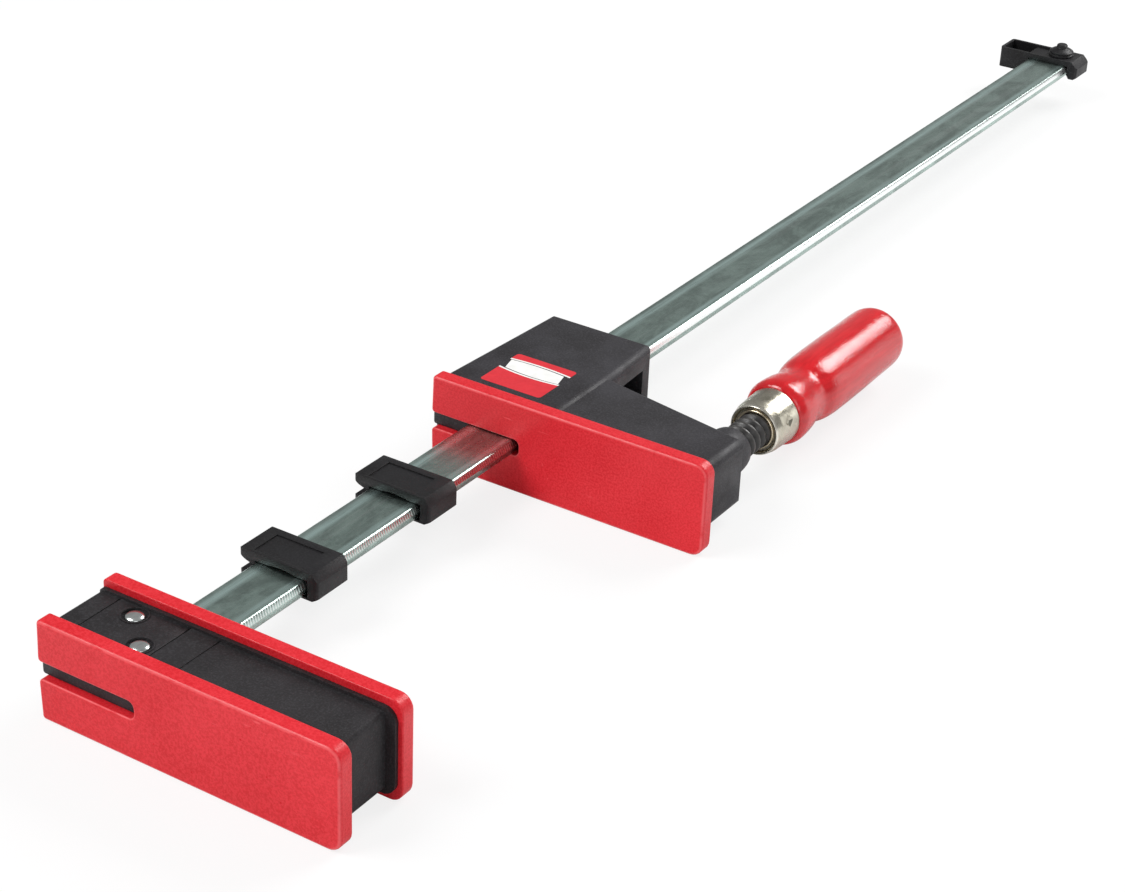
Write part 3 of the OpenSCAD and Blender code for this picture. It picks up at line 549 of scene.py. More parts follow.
# Red lacquer over turned beech: a thick glossy skin with orange peel, and faint long pores below it.
lacquer = {
    "colour": (0.64, 0.007, 0.013), "dark": (0.53, 0.004, 0.009), "rough": 0.18, "ior": 1.6,
    "pores": ((1.0, 3.0), (0.35, 0.7), (520, 60, 520)),
    "peel": (1.0, 3.0, 0.6), "peelStretch": (700, 950, 700), "peelSheen": (0.25, 0.75, 0.05, 0.12),
    "swell": (120.0, 2.0), "swellShare": 0.8, "bump": (0.3, 0.0005),
}


def buildLacquerFinish(spec):
    f = Finish("redLacquer", spec["rough"], IOR=spec["ior"])
    f.feed("Base Color", f.mix(f.cloud(*spec["pores"]), spec["dark"], spec["colour"]))
    peel = f.noise(f.stretched(f.place, spec["peelStretch"]), *spec["peel"])
    f.feed("Roughness", f.ramp(peel, *spec["peelSheen"]))
    swell = f.math("MULTIPLY", f.noise(f.place, *spec["swell"]), spec["swellShare"])
    f.bump(f.math("ADD", peel, swell), *spec["bump"])
    return f.material


# Nickel-plated drawn steel with a warm tint and darker stains, and the brass of the collar alike.
nickel = {
    "stain": ((150.0, 6.0, 0.7, 0.6), (0.42, 0.7)), "stainShare": 0.45,
    "wearAndGlint": {"Scale": 160.0, "Keep": 0.1}, "rough": 0.25, "sheen": ((300.0, 5.0), -0.08, 0.13),
    "skin": (1600.0, 210.0, 0.1, 0.0002),
}
nickelShades = {
    "nickelPlate": {"colour": (0.52, 0.495, 0.41), "stain": (0.16, 0.14, 0.095), "bright": (0.86, 0.83, 0.75)},
    "collarBrass": {"colour": (0.62, 0.50, 0.33), "stain": (0.22, 0.15, 0.09), "bright": (0.85, 0.74, 0.55)},
}


def buildNickelFinish(name, spec):
    shade = nickelShades[name]
    f = Finish(name, spec["rough"], 1.0)
    stain = f.math("MULTIPLY", f.cloud(*spec["stain"]), spec["stainShare"])
    base = f.mix(stain, shade["colour"], shade["stain"])
    # Where the edge attribute is set the bright shade is partly rubbed metal, partly a painted highlight.
    f.feed("Base Color", f.mix(f.effect(wearAndGlintGroup, **spec["wearAndGlint"]), base, shade["bright"]))
    return f.finished(spec)


# Blackened, oiled steel: near black, with rubbed crests and grease gloss.
blackSteel = {
    "colour": (0.009, 0.0085, 0.009), "rubbed": (0.055, 0.052, 0.05), "wearAndGlint": {"Scale": 260.0, "Keep": 0.2},
    "rough": 0.34, "metallic": 0.1, "sheen": ((350.0, 5.0), -0.12, 0.16), "skin": (1800.0, 300.0, 0.15, 0.0002),
}


def buildBlackSteelFinish(spec):
    f = Finish("blackSteel", spec["rough"], spec["metallic"])
    f.feed("Base Color", f.mix(f.effect(wearAndGlintGroup, **spec["wearAndGlint"]), spec["colour"], spec["rubbed"]))
    return f.finished(spec)


# Plain surfaces clouded between two shades: the rough-skinned cast and plain steel inside, and printed
# film with a faint mottle and fine pits.
iron = {
    "metallic": 0.9, "specular": 0.5, "cloud": ((160.0, 6.0, 0.7), (0.3, 0.7)),
    "sheen": ((400.0, 4.0), -0.08, 0.12), "skin": (1400.0, 220.0, 0.35, 0.0003),
}
film = {
    "metallic": 0.0, "specular": 0.4, "cloud": ((300.0, 4.0), (0.3, 0.7)),
    "sheen": ((700.0, 3.0), -0.08, 0.08), "skin": (2600.0, 200.0, 0.1, 0.0001),
}


def buildPlainFinish(name, rough, dark, colour, spec):
    f = Finish(name, rough, spec["metallic"], Specular_IOR_Level=spec["specular"])
    f.feed("Base Color", f.mix(f.cloud(*spec["cloud"]), dark, colour))
    return f.finished(spec)


finishes = {
    "pad": buildPadFinish(padFinish),
    "nylon": buildNylonFinish("blackNylon", nylon),
    "fixedNylon": buildNylonFinish("fixedNylon", nylon),
    "clipNylon": buildNylonFinish("clipNylon", nylon),
    "zinc": buildZincFinish("railZinc", railZinc, zinc),
    "rivetZinc": buildZincFinish("rivetZinc", rivetZinc, zinc),
    "lacquer": buildLacquerFinish(lacquer),
    "nickel": buildNickelFinish("nickelPlate", nickel),
    "collar": buildNickelFinish("collarBrass", nickel),
    "blackSteel": buildBlackSteelFinish(blackSteel),
    "labelRed": buildPlainFinish("labelRed", 0.42, (0.60, 0.018, 0.03), (0.66, 0.022, 0.035), film),
    "labelWhite": buildPlainFinish("labelWhite", 0.42, (0.78, 0.78, 0.76), (0.86, 0.86, 0.84), film),
    "castIron": buildPlainFinish("castIron", 0.6, (0.156, 0.156, 0.162), (0.26, 0.26, 0.27), iron),
    "plainSteel": buildPlainFinish("plainSteel", 0.35, (0.30, 0.306, 0.312), (0.50, 0.51, 0.52), iron),
}
print("finishes built")


# A vertex attribute between 0 and 1 that the wear and painted highlight effect reads.
def setEdge(obj, values):
    layer = obj.data.attributes.new("edge", "FLOAT", "POINT")
    layer.data.foreach_set("value", np.asarray(values, np.float32))


# The mesh's points as an array, one row each.
def vertexArray(obj):
    flat = np.empty(len(obj.data.vertices) * 3, np.float32)
    obj.data.vertices.foreach_get("co", flat)
    return flat.reshape(-1, 3).astype(float)


# The rail: a rounded bar whose throat side is cut into fine teeth above a faint ridge, which runs a
# little above its middle. The cross-section is carried along Y in four stations a tooth. The points near
# the throat side sink by the tooth's depth at the stations of its gullet; the sinking fades to nothing
# on the flat faces, at the ridge and beyond the moving jaw.
rail = {
    "edge": 1.2 * mm, "ridge": 0.95 * mm, "ridgeHeight": 0.5 * mm, "ridgeFlat": 0.15 * mm,
    "pitch": 1.27 * mm, "stations": (0.0, 0.34, 0.5, 0.84), "sunkStations": (0.0, 0.0, 1.0, 1.0),
    "depth": 0.09 * mm, "flatten": 0.35, "fade": 1.9 * mm, "ridgeFade": 0.8 * mm, "jawFade": 40 * mm,
    "throat": 1.3 * mm, "throatFade": 0.5 * mm, "crest": 0.42, "crestShift": 0.01, "crestRubAndGlint": 0.55,
}


def makeRail(spec):
    x0, y0, z0 = railLow
    x1, y1, z1 = railHigh
    side = x1 - spec["ridge"]
    edge, ridge, flat, pitch = spec["edge"], spec["ridgeHeight"], spec["ridgeFlat"], spec["pitch"]
    section = filletOutline(
        [(x0, z0), (side, z0), (x1, ridge - flat), (x1, ridge + flat), (side, z1), (x0, z1)],
        [edge, edge, 0, 0, edge, edge],
    )
    teeth = int((y1 - y0) / pitch) - 1
    start = y0 + ((y1 - y0) - teeth * pitch) / 2
    y = (start + (np.arange(teeth)[:, None] + np.array(spec["stations"])) * pitch).ravel()
    y = np.concatenate([[y0], y, [y1]])
    sunk = np.concatenate([[0.0], np.tile(spec["sunkStations"], teeth), [0.0]])
    near = np.clip((section[:, 0] - (x1 - spec["fade"])) / spec["fade"], 0, 1)
    near = near * near * (3 - 2 * near) * np.clip((section[:, 1] - ridge) / spec["ridgeFade"], 0, 1)

    def pastJaw(place):
        return np.clip((place - jawPlace) / spec["jawFade"], 0, 1)

    drop = sunk[:, None] * near * (spec["depth"] * (1 - pastJaw(y)[:, None]))
    x = section[:, 0] - drop
    z = section[:, 1] * (1 - spec["flatten"] * drop / abs(z1))
    points, faces = closedTube(np.stack([x, np.repeat(y[:, None], len(section), 1), z], -1))
    obj = makeObject("railBar", points, faces, "fixed_jaw", "rail_steel", "zinc", 40)
    co = vertexArray(obj)
    # The throat side's top rounding is painted bright: past the moving jaw the whole band is a painted
    # highlight; before it only the tooth crests, partly rubbed and partly a painted glint.
    throat = np.clip((co[:, 0] - (x1 - spec["throat"])) / spec["throatFade"], 0, 1) * (co[:, 2] > ridge)
    crest = ((co[:, 1] - start) / pitch + spec["crestShift"]) % 1 < spec["crest"]
    past = pastJaw(co[:, 1])
    setEdge(obj, throat * (past + (1 - past) * spec["crestRubAndGlint"] * crest))
    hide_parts("rail")


makeRail(rail)


# The pads: a flat plate with a slot open at the rail end, all corners rounded in outline and the
# edges of both faces drawn in along quarter circles. A painted highlight line lies on the front's rounding.
pad = {
    "corner": 5.0 * mm, "railCorner": 1.6 * mm, "slotHalf": 3.3 * mm, "slotCorner": 2.4 * mm,
    "slotMouth": 1.4 * mm, "slotEnd": 1.7 * mm, "slotReach": 2.2 * mm, "slotMargin": 0.1 * mm,
    "frontEdge": 1.2 * mm, "backEdge": 0.5 * mm, "slotEdge": 0.6 * mm,
    "rubAndGlintPlace": 0.25 * mm, "rubAndGlintWidth": 0.5 * mm,
}


def makePad(node, name, body, front, spec):
    low, high = boxes[node]
    half = spec["slotHalf"]
    end = railHigh[0] + spec["slotEnd"]
    corners = [
        (low[0], low[2]), (high[0], low[2]), (high[0], high[2]), (low[0], high[2]),
        (low[0], half), (end, half), (end, -half), (low[0], -half),
    ]
    radii = [spec[key] for key in (
        "railCorner", "corner", "corner", "railCorner", "slotMouth", "slotCorner", "slotCorner", "slotMouth",
    )]
    outline = filletOutline(corners, radii, 6)
    inSlot = np.abs(outline[:, 1]) < half + spec["slotReach"]
    inSlot &= outline[:, 0] < end + spec["slotMargin"]
    frontEdge = np.where(inSlot, spec["slotEdge"], spec["frontEdge"])
    edges = (frontEdge, spec["backEdge"]) if front < 0 else (spec["backEdge"], frontEdge)
    flat, faces = plateSurface(outline, low[1], high[1], *edges, 5)
    obj = makeObject(name, flat[:, [0, 2, 1]], faces, body, "red_pad", "pad", 40)
    # The painted highlight line: a band on the front's rounding at a set depth from the face.
    depth = np.abs(vertexArray(obj)[:, 1] - (low[1] if front < 0 else high[1]))
    setEdge(obj, np.clip(1 - np.abs(depth - spec["rubAndGlintPlace"]) / spec["rubAndGlintWidth"], 0, 1) * (depth > hair))
    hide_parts(node)


makePad("outer_pad", "padOuter", "fixed_jaw", -1, pad)
makePad("inner_pad", "padInner", "fixed_jaw", 1, pad)
makePad("moving_pad", "padMoving", "moving_jaw", -1, pad)


# The housings fill the back of the pads' slots with a tongue: a plate with rounded edges that ends short
# of the pad's face, and at the moving jaw short of the rail.
tongue = {
    "sunk": 3.1 * mm, "gap": 0.06 * mm, "past": 1.2 * mm, "railGap": 1.2 * mm,
    "corner": 1.0 * mm, "edge": 0.4 * mm, "backEdge": 0.05 * mm,
}


def makeTongue(name, body, padNode, toRail, spec):
    low, high = boxes[padNode]
    gap = spec["gap"]
    half = pad["slotHalf"] - gap
    right = railLow[0] - spec["railGap"] if toRail else railHigh[0] + pad["slotEnd"] - gap
    left = low[0] - spec["past"]
    outline = filletOutline([(left, -half), (right, -half), (right, half), (left, half)], spec["corner"], 4)
    flat, faces = plateSurface(
        outline, low[1] + spec["sunk"], high[1] + gap, spec["edge"], spec["backEdge"], 4
    )
    makeObject(name, flat[:, [0, 2, 1]], faces, body, "black_nylon", "nylon", 40)


makeTongue("slotTongueOuter", "fixed_jaw", "outer_pad", False, tongue)
makeTongue("slotTongueMoving", "moving_jaw", "moving_pad", True, tongue)
print("rail and pads made")


# A moulded piece copied from its CAD node: loose triangles are merged, flats are dissolved, and a
# fine bevel rounds what is left sharp.
moulding = {"merge": 2e-6, "flatDegrees": 0.6, "steps": 3, "sharpDegrees": 32.0}


def dressNode(node, name, body, slotName, finish, bevel, spec):
    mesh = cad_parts[node].data.copy()
    mesh.name = name
    mesh.materials.clear()
    mesh.materials.append(finishes[finish])
    work = bmesh.new()
    work.from_mesh(mesh)
    bmesh.ops.remove_doubles(work, verts=work.verts, dist=spec["merge"])
    bmesh.ops.dissolve_limit(
        work, angle_limit=math.radians(spec["flatDegrees"]), verts=work.verts, edges=work.edges,
        use_dissolve_boundaries=False,
    )
    for face in work.faces:
        face.smooth = True
        face.material_index = 0
    work.to_mesh(mesh)
    work.free()
    obj = newObject(name, mesh)
    made = obj.modifiers.new("softEdges", "BEVEL")
    made.width = bevel
    made.segments = spec["steps"]
    made.limit_method = "ANGLE"
    made.angle_limit = math.radians(spec["sharpDegrees"])
    made.harden_normals = True
    made.miter_outer = "MITER_ARC"
    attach(obj, body)
    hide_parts(node)


for piece in (
    ("fixed_casing", "fixedHousing", "fixed_jaw", "black_nylon", "fixedNylon", 0.35 * mm),
    ("slider_casing", "sliderHousing", "moving_jaw", "black_nylon", "nylon", 0.35 * mm),
    ("near_clip", "workClipNear", "near_work_clip", "clip_plastic", "clipNylon", 0.3 * mm),
    ("far_clip", "workClipFar", "far_work_clip", "clip_plastic", "clipNylon", 0.3 * mm),
    ("end_clip", "endClip", "fixed_jaw", "clip_plastic", "clipNylon", 0.35 * mm),
):
    dressNode(*piece, moulding)
print("housings and clips made")


# CAD nodes that stay as they are get their finishes.
plainNodes = {
    "castIron": ("fixed_core", "arm_core"),
    "plainSteel": ("grip_plate", "thrust_plate", "spindle_nut", "pressure_shoe", "shoe_keeper"),
}
for key, nodes in plainNodes.items():
    for node in nodes:
        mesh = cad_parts[node].data
        mesh.materials.clear()
        mesh.materials.append(finishes[key])


# Smooth curve through a turned profile: rows of (radius, place) are refilled along their length with
# cubic pieces that pass through each row and share its slope.
def densify(profile, parts):
    profile = np.asarray(profile, float)
    length = np.concatenate([[0], np.cumsum(np.linalg.norm(np.diff(profile, axis=0), axis=1))])
    slope = np.gradient(profile, length, axis=0)
    out = []
    for i in range(len(profile) - 1):
        h = length[i + 1] - length[i]
        t = np.arange(parts)[:, None] / parts
        out.append(
            (2 * t**3 - 3 * t**2 + 1) * profile[i] + (t**3 - 2 * t**2 + t) * h * slope[i]
            + (3 * t**2 - 2 * t**3) * profile[i + 1] + (t**3 - t**2) * h * slope[i + 1]
        )
    return np.concatenate(out + [profile[-1:]])


# The handle: shares of its length and radius, turned. A slow swell of the lacquer, the product of a wave
# round and along it and one along it, is taken off the radius, and a tenon fills the ferrule.
handle = {
    "shares": [
        (0, 0.85), (0.006, 0.895), (0.018, 0.942), (0.03, 0.968), (0.045, 0.98), (0.062, 0.977),
        (0.085, 0.966), (0.107, 0.952), (0.13, 0.931), (0.15, 0.907), (0.172, 0.88), (0.195, 0.855),
        (0.218, 0.843), (0.235, 0.848), (0.252, 0.873), (0.274, 0.921), (0.296, 0.957), (0.318, 0.977),
        (0.362, 0.994), (0.42, 1), (0.58, 0.997), (0.7, 0.989), (0.81, 0.979), (0.9, 0.971),
        (0.94, 0.962), (0.958, 0.94), (0.972, 0.89), (0.983, 0.78), (0.992, 0.57), (0.998, 0.32), (1, 0.004),
    ],
    "parts": 5, "columns": 160, "bore": 0.2 * mm, "tenon": 8 * mm, "tenonRadius": (10.2 * mm, 10.6 * mm),
    "swell": 0.05 * mm, "wavesRound": 3, "waveAlong": 90, "beatAlong": 140, "core": 4 * mm,
}


def makeHandle(spec):
    radius = turnedRadius("handle")
    start = boxes["ferrule"][1][1]
    length = boxes["handle"][1][1] - start
    profile = [(radius * share, start + place * length) for place, share in spec["shares"]]
    back, front = spec["tenonRadius"]
    tenon = [(spec["bore"], start - spec["tenon"]), (back, start - spec["tenon"]), (front, start)]
    grid, faces = spinOnSpindle(np.concatenate([tenon, densify(profile, spec["parts"])]), spec["columns"])
    angle, distance = aroundSpindle(grid)
    along = grid[..., 1]
    wave = np.sin(spec["wavesRound"] * angle + spec["waveAlong"] * along) * np.sin(spec["beatAlong"] * along)
    scaleAround(grid, 1 - np.abs(spec["swell"] * wave) / np.maximum(distance, spec["core"]))
    obj = makeObject("turnedHandle", grid, faces, "spindle", "red_wood", "lacquer", 60)
    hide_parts("handle")


makeHandle(handle)


# The ferrule: a drawn cup with a rolled lip, a dished front and a tapering side. Its side is punched
# once into the wood: the surface sinks along a short cross-shaped dent.
ferrule = {
    "taper": 0.5 * mm, "cone": 4.0 * mm, "dish": 1.3 * mm, "wall": 0.8 * mm, "rim": 10.3 * mm,
    "hole": 8.1 * mm, "columns": 220, "sideRows": 60, "backEdge": 0.3 * mm, "backStep": 0.1 * mm,
    "lip": (-1.9, -1.1, -0.35, 0.1), "lipDepth": 1.1,  # in walls, from the rim and from the front
    "radii": (0, 0.5 * mm, 0.4 * mm, 0.5 * mm, 0.9 * mm, 3.0 * mm, 0),
    "dentPlace": 8.6 * mm, "dentTurn": 20.0, "dent": 1.1 * mm, "dentSize": 1.8 * mm, "dentReach": 1.4,
    "dentPower": 0.8, "skinDepth": 0.6 * mm, "rubAndGlintPlace": 0.5 * mm, "rubAndGlintWidth": 0.7 * mm, "rubAndGlintFrom": 1.4,
}


def makeFerrule(spec):
    y0, y1 = boxes["ferrule"][0][1], boxes["ferrule"][1][1]
    radius = turnedRadius("ferrule")
    rim, wall, dish, cone, hole = spec["rim"], spec["wall"], spec["dish"], spec["cone"], spec["hole"]
    lip = [rim + share * wall for share in spec["lip"]]
    front = filletOutline(
        [(hole, y0 + dish), (lip[0], y0 + dish), (lip[1], y0 + hair), (lip[2], y0 + hair),
         (lip[3], y0 + spec["lipDepth"] * wall), (radius - spec["taper"], y0 + cone),
         (radius, y1 - spec["backEdge"])],
        spec["radii"], 5, False, 0.3,
    )
    side = np.linspace(front[-2], front[-1], spec["sideRows"])[1:]
    back = [(radius - spec["backStep"], y1), (radius - wall, y1),
            (radius - wall - spec["backEdge"], y0 + cone), (rim - wall, y0 + dish + wall),
            (hole, y0 + dish + wall), (hole, y0 + dish)]
    grid, faces = spinOnSpindle(np.concatenate([front[:-1], side, back]), spec["columns"])
    angle, distance = aroundSpindle(grid)
    across = (angle - math.radians(spec["dentTurn"])) * radius
    along = grid[..., 1] - (y0 + spec["dentPlace"])
    arms = np.maximum(np.abs(across + along), np.abs(across - along)) / (spec["dentReach"] * spec["dentSize"])
    sink = spec["dent"] * np.clip(1 - arms, 0, 1) ** spec["dentPower"]
    sink *= distance > radius - spec["skinDepth"]
    scaleAround(grid, 1 - sink / distance)
    obj = makeObject("drawnFerrule", grid, faces, "spindle", "nickel_plate", "nickel", 50)
    # The lip's rounding is painted lighter: partly rubbed, partly a painted highlight.
    co = vertexArray(obj)
    rubbed = np.clip(1 - np.abs(co[:, 1] - (y0 + spec["rubAndGlintPlace"])) / spec["rubAndGlintWidth"], 0, 1)
    setEdge(obj, rubbed * (aroundSpindle(co)[1] > rim - spec["rubAndGlintFrom"] * wall))
    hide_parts("ferrule")


makeFerrule(ferrule)


# The collar in the ferrule's mouth: a thick ring with a round nose, its front painted lighter: partly rubbed,
# partly a painted highlight.
collar = {"wall": 1.05 * mm, "noseRadii": (0, 0.35 * mm, 0.5 * mm, 0), "columns": 96, "rubAndGlintWidth": 0.6 * mm}


def makeCollar(spec):
    low, high = boxes["ferrule_collar"]
    outer = turnedRadius("ferrule_collar")
    inner = outer - spec["wall"]
    profile = filletOutline(
        [(inner, high[1]), (inner, low[1]), (outer, low[1]), (outer, high[1])], spec["noseRadii"], 5, True, 0.2
    )
    ring = spinOnSpindle(np.concatenate([profile, profile[:1]]), spec["columns"])
    obj = makeObject("mouthCollar", *ring, "spindle", "collar_brass", "collar", 40)
    setEdge(obj, np.clip(1 - (vertexArray(obj)[:, 1] - low[1]) / spec["rubAndGlintWidth"], 0, 1))
    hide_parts("ferrule_collar")


makeCollar(collar)


# The spindle: a right-hand thread with flat crests. Rows follow the helix, so that a row lies at its own
# offset plus the lead times the share of a turn, and the seam joins its last column to the first of the
# row one turn on. The ends are held to the bar's own length, and the thread runs out there. The nose, its
# groove and the tang are turned.
spindle = {
    "lead": 4.0 * mm, "depth": 1.5 * mm, "columns": 96, "threadFront": 0.3 * mm, "runIn": 1.5,
    "runOut": 0.4 * mm, "rubDepth": 0.3 * mm,
    "tooth": [(0.0, 0.0), (0.06, 0.0), (0.1, 0.06), (0.33, 0.94), (0.37, 1.0), (0.56, 1.0), (0.6, 0.94),
              (0.84, 0.06), (0.88, 0.0)],  # share of the lead, share of the depth
    "coreShare": 0.98, "coreColumns": 64, "noseRadius": 2.8 * mm, "tangRadius": 5.0 * mm,
    "groovePlace": 1.06 * mm, "grooveDepth": 0.6 * mm, "endEdge": 0.4 * mm, "coreEdge": 0.3 * mm,
}


def makeThread(spec, outer, y0, y1):
    lead, count = spec["lead"], spec["columns"]
    tooth = np.array(spec["tooth"])
    perTurn = len(tooth)
    turns = int(math.ceil((y1 - y0) / lead)) + 2
    offset = (np.arange(turns)[:, None] + tooth[:, 0]).ravel() * lead
    height = np.tile(tooth[:, 1], turns)
    share = np.arange(count) / count
    y = y0 - spec["runIn"] * lead + offset[:, None] + lead * share
    room = np.maximum(np.minimum(y - y0, y1 - y) + spec["runOut"], 0)
    radius = np.minimum(outer - spec["depth"] * (1 - height)[:, None], outer - spec["depth"] + room)
    y = np.clip(y, y0, y1)
    angle = -tau * share
    points = np.stack([spindleX + radius * np.cos(angle), y, radius * np.sin(angle)], -1)
    index = np.arange(len(points) * count).reshape(-1, count)
    inner = np.stack([index[:-1, :-1], index[:-1, 1:], index[1:, 1:], index[1:, :-1]], -1).reshape(-1, 4)
    j = np.arange(len(points) - perTurn - 1)
    seam = np.stack([index[j, -1], index[j + perTurn, 0], index[j + perTurn + 1, 0], index[j + 1, -1]], -1)
    faces = np.concatenate([inner, seam])
    obj = makeObject("spindleThread", points, faces, "spindle", "black_steel", "blackSteel", 50)
    crest = aroundSpindle(vertexArray(obj))[1] - outer + spec["rubDepth"]
    setEdge(obj, np.clip(crest / spec["rubDepth"], 0, 1))
    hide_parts("spindle_screw")


def makeSpindleCore(spec, outer, y0, y1):
    low, high = boxes["spindle_screw"]
    core = outer - spec["depth"] * spec["coreShare"]
    nose, tang = spec["noseRadius"], spec["tangRadius"]
    neck = nose - spec["grooveDepth"]
    groove = boxes["pressure_shoe"][1][1] - spec["groovePlace"]
    end, edge = spec["endEdge"], spec["coreEdge"]
    profile = filletOutline(
        [(hair, low[1]), (nose, low[1]), (nose, groove), (neck, groove), (neck, y0), (core, y0),
         (core, y1), (tang, y1), (tang, high[1]), (hair, high[1])],
        [0, end, 0, 0, 0, edge, edge, 0, end, 0], 3, False,
    )
    spun = spinOnSpindle(profile, spec["coreColumns"])
    makeObject("spindleCore", *spun, "spindle", "black_steel", "blackSteel", 40)


def makeSpindle(spec):
    y0, y1 = boxes["pressure_shoe"][1][1] + spec["threadFront"], boxes["ferrule_collar"][1][1]
    makeThread(spec, turnedRadius("spindle_screw"), y0, y1)
    makeSpindleCore(spec, turnedRadius("spindle_screw"), y0, y1)


makeSpindle(spindle)


# Rivets: a shank with a peened dome at each end. The dome's radius grows with the sine of an angle and
# its height falls with a power of the cosine; its foot is rolled under.
rivet = {
    "head": 3.45 * mm, "dome": 1.6 * mm, "domePower": 0.8, "domeRows": 10, "rolled": 0.3 * mm,
    "shank": 2.0 * mm, "columns": 64,
}


def makeRivet(node, name, spec):
    low, high = boxes[node]
    middle = (low + high) / 2
    half = (high[2] - low[2]) / 2
    head, foot = spec["head"], half - spec["dome"]
    angle = np.linspace(0, 1, spec["domeRows"]) * math.pi / 2
    cap = np.stack([head * np.sin(angle), half - spec["dome"] * (1 - np.cos(angle) ** spec["domePower"])], 1)
    cap[0, 0] = hair
    cap = np.concatenate([cap, [(head, foot), (head - spec["rolled"], foot - hair), (spec["shank"], foot)]])
    profile = np.concatenate([cap, cap[::-1] * [1, -1]]) + [0, middle[2]]
    spun = spinUpright(profile, spec["columns"], middle)
    obj = makeObject(name, *spun, "fixed_jaw", "bright_zinc", "rivetZinc", 45)
    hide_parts(node)


makeRivet("rivet_inner", "rivetInner", rivet)
makeRivet("rivet_outer", "rivetOuter", rivet)


# The end pin: a stepped button turned on its shank, from shares of its radius and height, with every
# step rounded.
pin = {
    "shares": [(1, 0), (1, 0.14), (0.92, 0.2), (0.92, 0.25), (0.98, 0.29), (0.98, 0.4), (0.86, 0.5),
               (0.66, 0.62), (0.5, 0.68), (0.46, 0.74), (0.44, 0.92), (0.36, 1), (0.002, 1)],
    "shank": 2.8 * mm, "height": 6.0 * mm, "rounding": 0.2 * mm, "columns": 80,
}


def makePin(spec):
    low, high = boxes["end_pin"]
    button = turnedRadius("end_pin")
    foot = high[2] - spec["height"]
    corners = [(hair, low[2]), (spec["shank"], low[2]), (spec["shank"], foot)]
    corners += [(share * button, foot + place * spec["height"]) for share, place in spec["shares"]]
    radii = [0, spec["rounding"], 0] + [spec["rounding"]] * (len(spec["shares"]) - 1) + [0]
    profile = filletOutline(corners, radii, 3, False, 0.2)
    spun = spinUpright(profile, spec["columns"], (low + high) / 2)
    obj = makeObject("endButton", *spun, "fixed_jaw", "clip_plastic", "clipNylon", 40)
    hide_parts("end_pin")


makePin(pin)
print("turned pieces made")


# The label on the slider block: thin printed slabs laid one on another. The two red fields are
# divided by two bowed white lines; between them stands a blank white name field with slanted ends.
label = {
    "left": -49.1 * mm, "right": -21.8 * mm, "foot": 190.7 * mm, "split": 203.6 * mm, "upper": 212.3 * mm,
    "top": 217.2 * mm, "corner": 1.4 * mm, "bow": 1.3 * mm, "upperBow": 0.75, "points": 25,
    "line": 1.0 * mm, "lineOut": 0.1, "lineIn": 0.8,  # the line's two sides, in line widths
    "room": 1.25, "slant": 0.8 * mm, "ends": 1.6 * mm, "fieldPoints": 21,
    "lift": 0.04 * mm, "thick": 0.03 * mm,
}


# A closed outline from a line followed forth and another followed back.
def outlineOf(forth, back):
    return np.concatenate([np.stack(forth, 1), np.stack(back, 1)[::-1]])


# Slabs of one print as one object: each outline is carried from the given level down by the thickness.
def makePrint(name, slabs, thick, finish):
    points, faces, start = [], [], 0
    for outline, level in slabs:
        count = len(outline)
        for height in (level - thick, level):
            points.append(np.concatenate([outline, np.full((count, 1), height)], 1))
        ring = np.arange(count)
        ahead = (ring + 1) % count
        sides = np.stack([ring, ahead, ahead + count, ring + count], 1)
        faces += [f + start for f in (ring[::-1], ring + count, *sides)]
        start += 2 * count
    makeObject(name, np.concatenate(points), faces, "moving_jaw", "red_pad", finish, 30)


def makeLabel(spec):
    level = boxes["slider_casing"][1][2] + spec["lift"]
    left, right, line, corner = spec["left"], spec["right"], spec["line"], spec["corner"]
    x = np.linspace(left, right, spec["points"])
    arch = spec["bow"] * (1 - ((2 * x - left - right) / (right - left)) ** 2)
    low = spec["split"] - arch
    high = spec["upper"] + spec["upperBow"] * arch
    radii = [0, corner, corner, 0]

    def redField(side, far, places, bowed):
        outline = filletOutline([(side, places[0]), (side, places[1]), (far, places[1]), (far, places[0])],
                                radii, 5, False)
        return np.concatenate([outline, bowed[1:-1]])

    lower = redField(left, right, (spec["split"], spec["foot"]), np.stack([x, low], 1)[::-1])
    upper = redField(right, left, (spec["upper"], spec["top"]), np.stack([x, high], 1))
    makePrint("labelRed", [(lower, level), (upper, level)], spec["thick"], "labelRed")
    outside, within = spec["lineOut"] * line, spec["lineIn"] * line
    inner = np.linspace(left + spec["ends"], right - spec["ends"], spec["fieldPoints"])
    room = spec["room"] * line
    makePrint("labelWhite", [
        (outlineOf((x, low - outside), (x, low + within)), level + hair),
        (outlineOf((x, high - within), (x, high + outside)), level + hair),
        (outlineOf((inner + spec["slant"], np.interp(inner, x, low) + room),
                   (inner - spec["slant"], np.interp(inner, x, high) - room)), level),
    ], spec["thick"], "labelWhite")


makeLabel(label)
print("label laid")


# Studio: a pale floor that runs to the horizon, four soft lamps and a white surround.
studio = {
    "floorSize": 12.0, "floorGap": 0.2 * mm, "floorWhite": 0.86,
    "lift": 0.82,  # the share of plain white that the camera sees in the floor
    "worldLight": 0.42, "worldSeen": 1.0,
    "lamps": [  # name, place, the point it looks at, width, watts
        ("keyLamp", (-0.9, -0.9, 1.6), (0.0, 0.15, 0.0), 1.0, 30.0),
        ("fillLamp", (1.5, -1.3, 0.9), (0.0, 0.15, 0.0), 1.2, 9.0),
        ("backLamp", (0.5, 1.7, 1.3), (0.0, 0.3, 0.0), 0.95, 29.0),
        ("rimLamp", (1.15, 1.6, 0.27), (0.0, 0.3, 0.0), 0.55, 1.5),
    ],
}


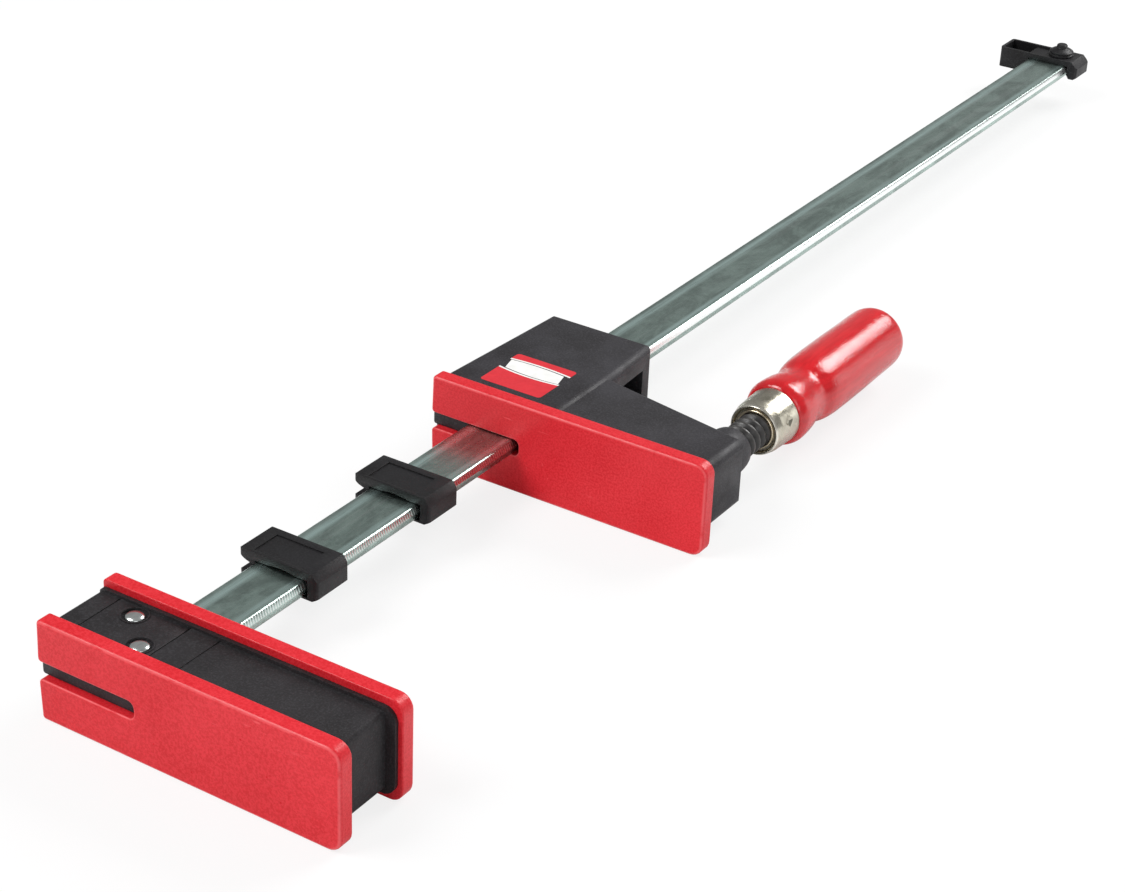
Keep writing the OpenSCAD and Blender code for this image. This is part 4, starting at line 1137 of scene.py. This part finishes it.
# One shader is changed for another by a factor, on its way to the output.
def mixToOutput(tree, factor, first, second, outputKind):
    blend = tree.add("ShaderNodeMixShader")
    for socket, source in zip(blend.inputs, (factor, first.outputs[0], second.outputs[0])):
        tree.join(source, socket)
    tree.join(blend.outputs[0], tree.add(outputKind).inputs["Surface"])


# The floor shades as matte white, and the camera sees a share of it as plain white.
def makeFloor(spec):
    size = spec["floorSize"]
    level = float(cadBox[0][2]) - spec["floorGap"]
    mesh = bpy.data.meshes.new("floor")
    corners = [(-size, -size, level), (size, -size, level), (size, size, level), (-size, size, level)]
    mesh.from_pydata(corners, [], [(0, 1, 2, 3)])
    floor = newObject("floor", mesh)
    material = bpy.data.materials.new("paleFloor")
    material.use_nodes = True
    tree = Tree(material.node_tree)
    matte = tree.add("ShaderNodeBsdfDiffuse")
    tree.give(matte.inputs["Color"], (spec["floorWhite"],) * 3)
    path = tree.add("ShaderNodeLightPath")
    seen = tree.math("MAXIMUM", path.outputs["Is Camera Ray"], path.outputs["Is Transmission Ray"])
    lift = tree.math("MULTIPLY", seen, spec["lift"])
    mixToOutput(tree, lift, matte, tree.add("ShaderNodeEmission"), "ShaderNodeOutputMaterial")
    mesh.materials.append(material)


# The world lights the clamp softly, and the camera sees it as plain white.
def makeWorld(spec):
    world = bpy.data.worlds.new("softRoom")
    world.use_nodes = True
    bpy.context.scene.world = world
    tree = Tree(world.node_tree)
    light, white = tree.add("ShaderNodeBackground"), tree.add("ShaderNodeBackground")
    tree.give(light.inputs["Strength"], spec["worldLight"])
    tree.give(white.inputs["Strength"], spec["worldSeen"])
    seen = tree.add("ShaderNodeLightPath").outputs["Is Camera Ray"]
    mixToOutput(tree, seen, light, white, "ShaderNodeOutputWorld")


# Each lamp is a square that looks at its point.
def makeLamps(spec):
    for name, place, aim, width, power in spec["lamps"]:
        data = bpy.data.lights.new(name, "AREA")
        data.size = width
        data.energy = power
        lamp = newObject(name, data)
        look = (Vector(aim) - Vector(place)).to_track_quat("-Z", "Y")
        lamp.matrix_world = Matrix.Translation(place) @ look.to_matrix().to_4x4()


makeFloor(studio)
makeWorld(studio)
makeLamps(studio)
bpy.context.scene.view_settings.view_transform = "Standard"
print("studio set")
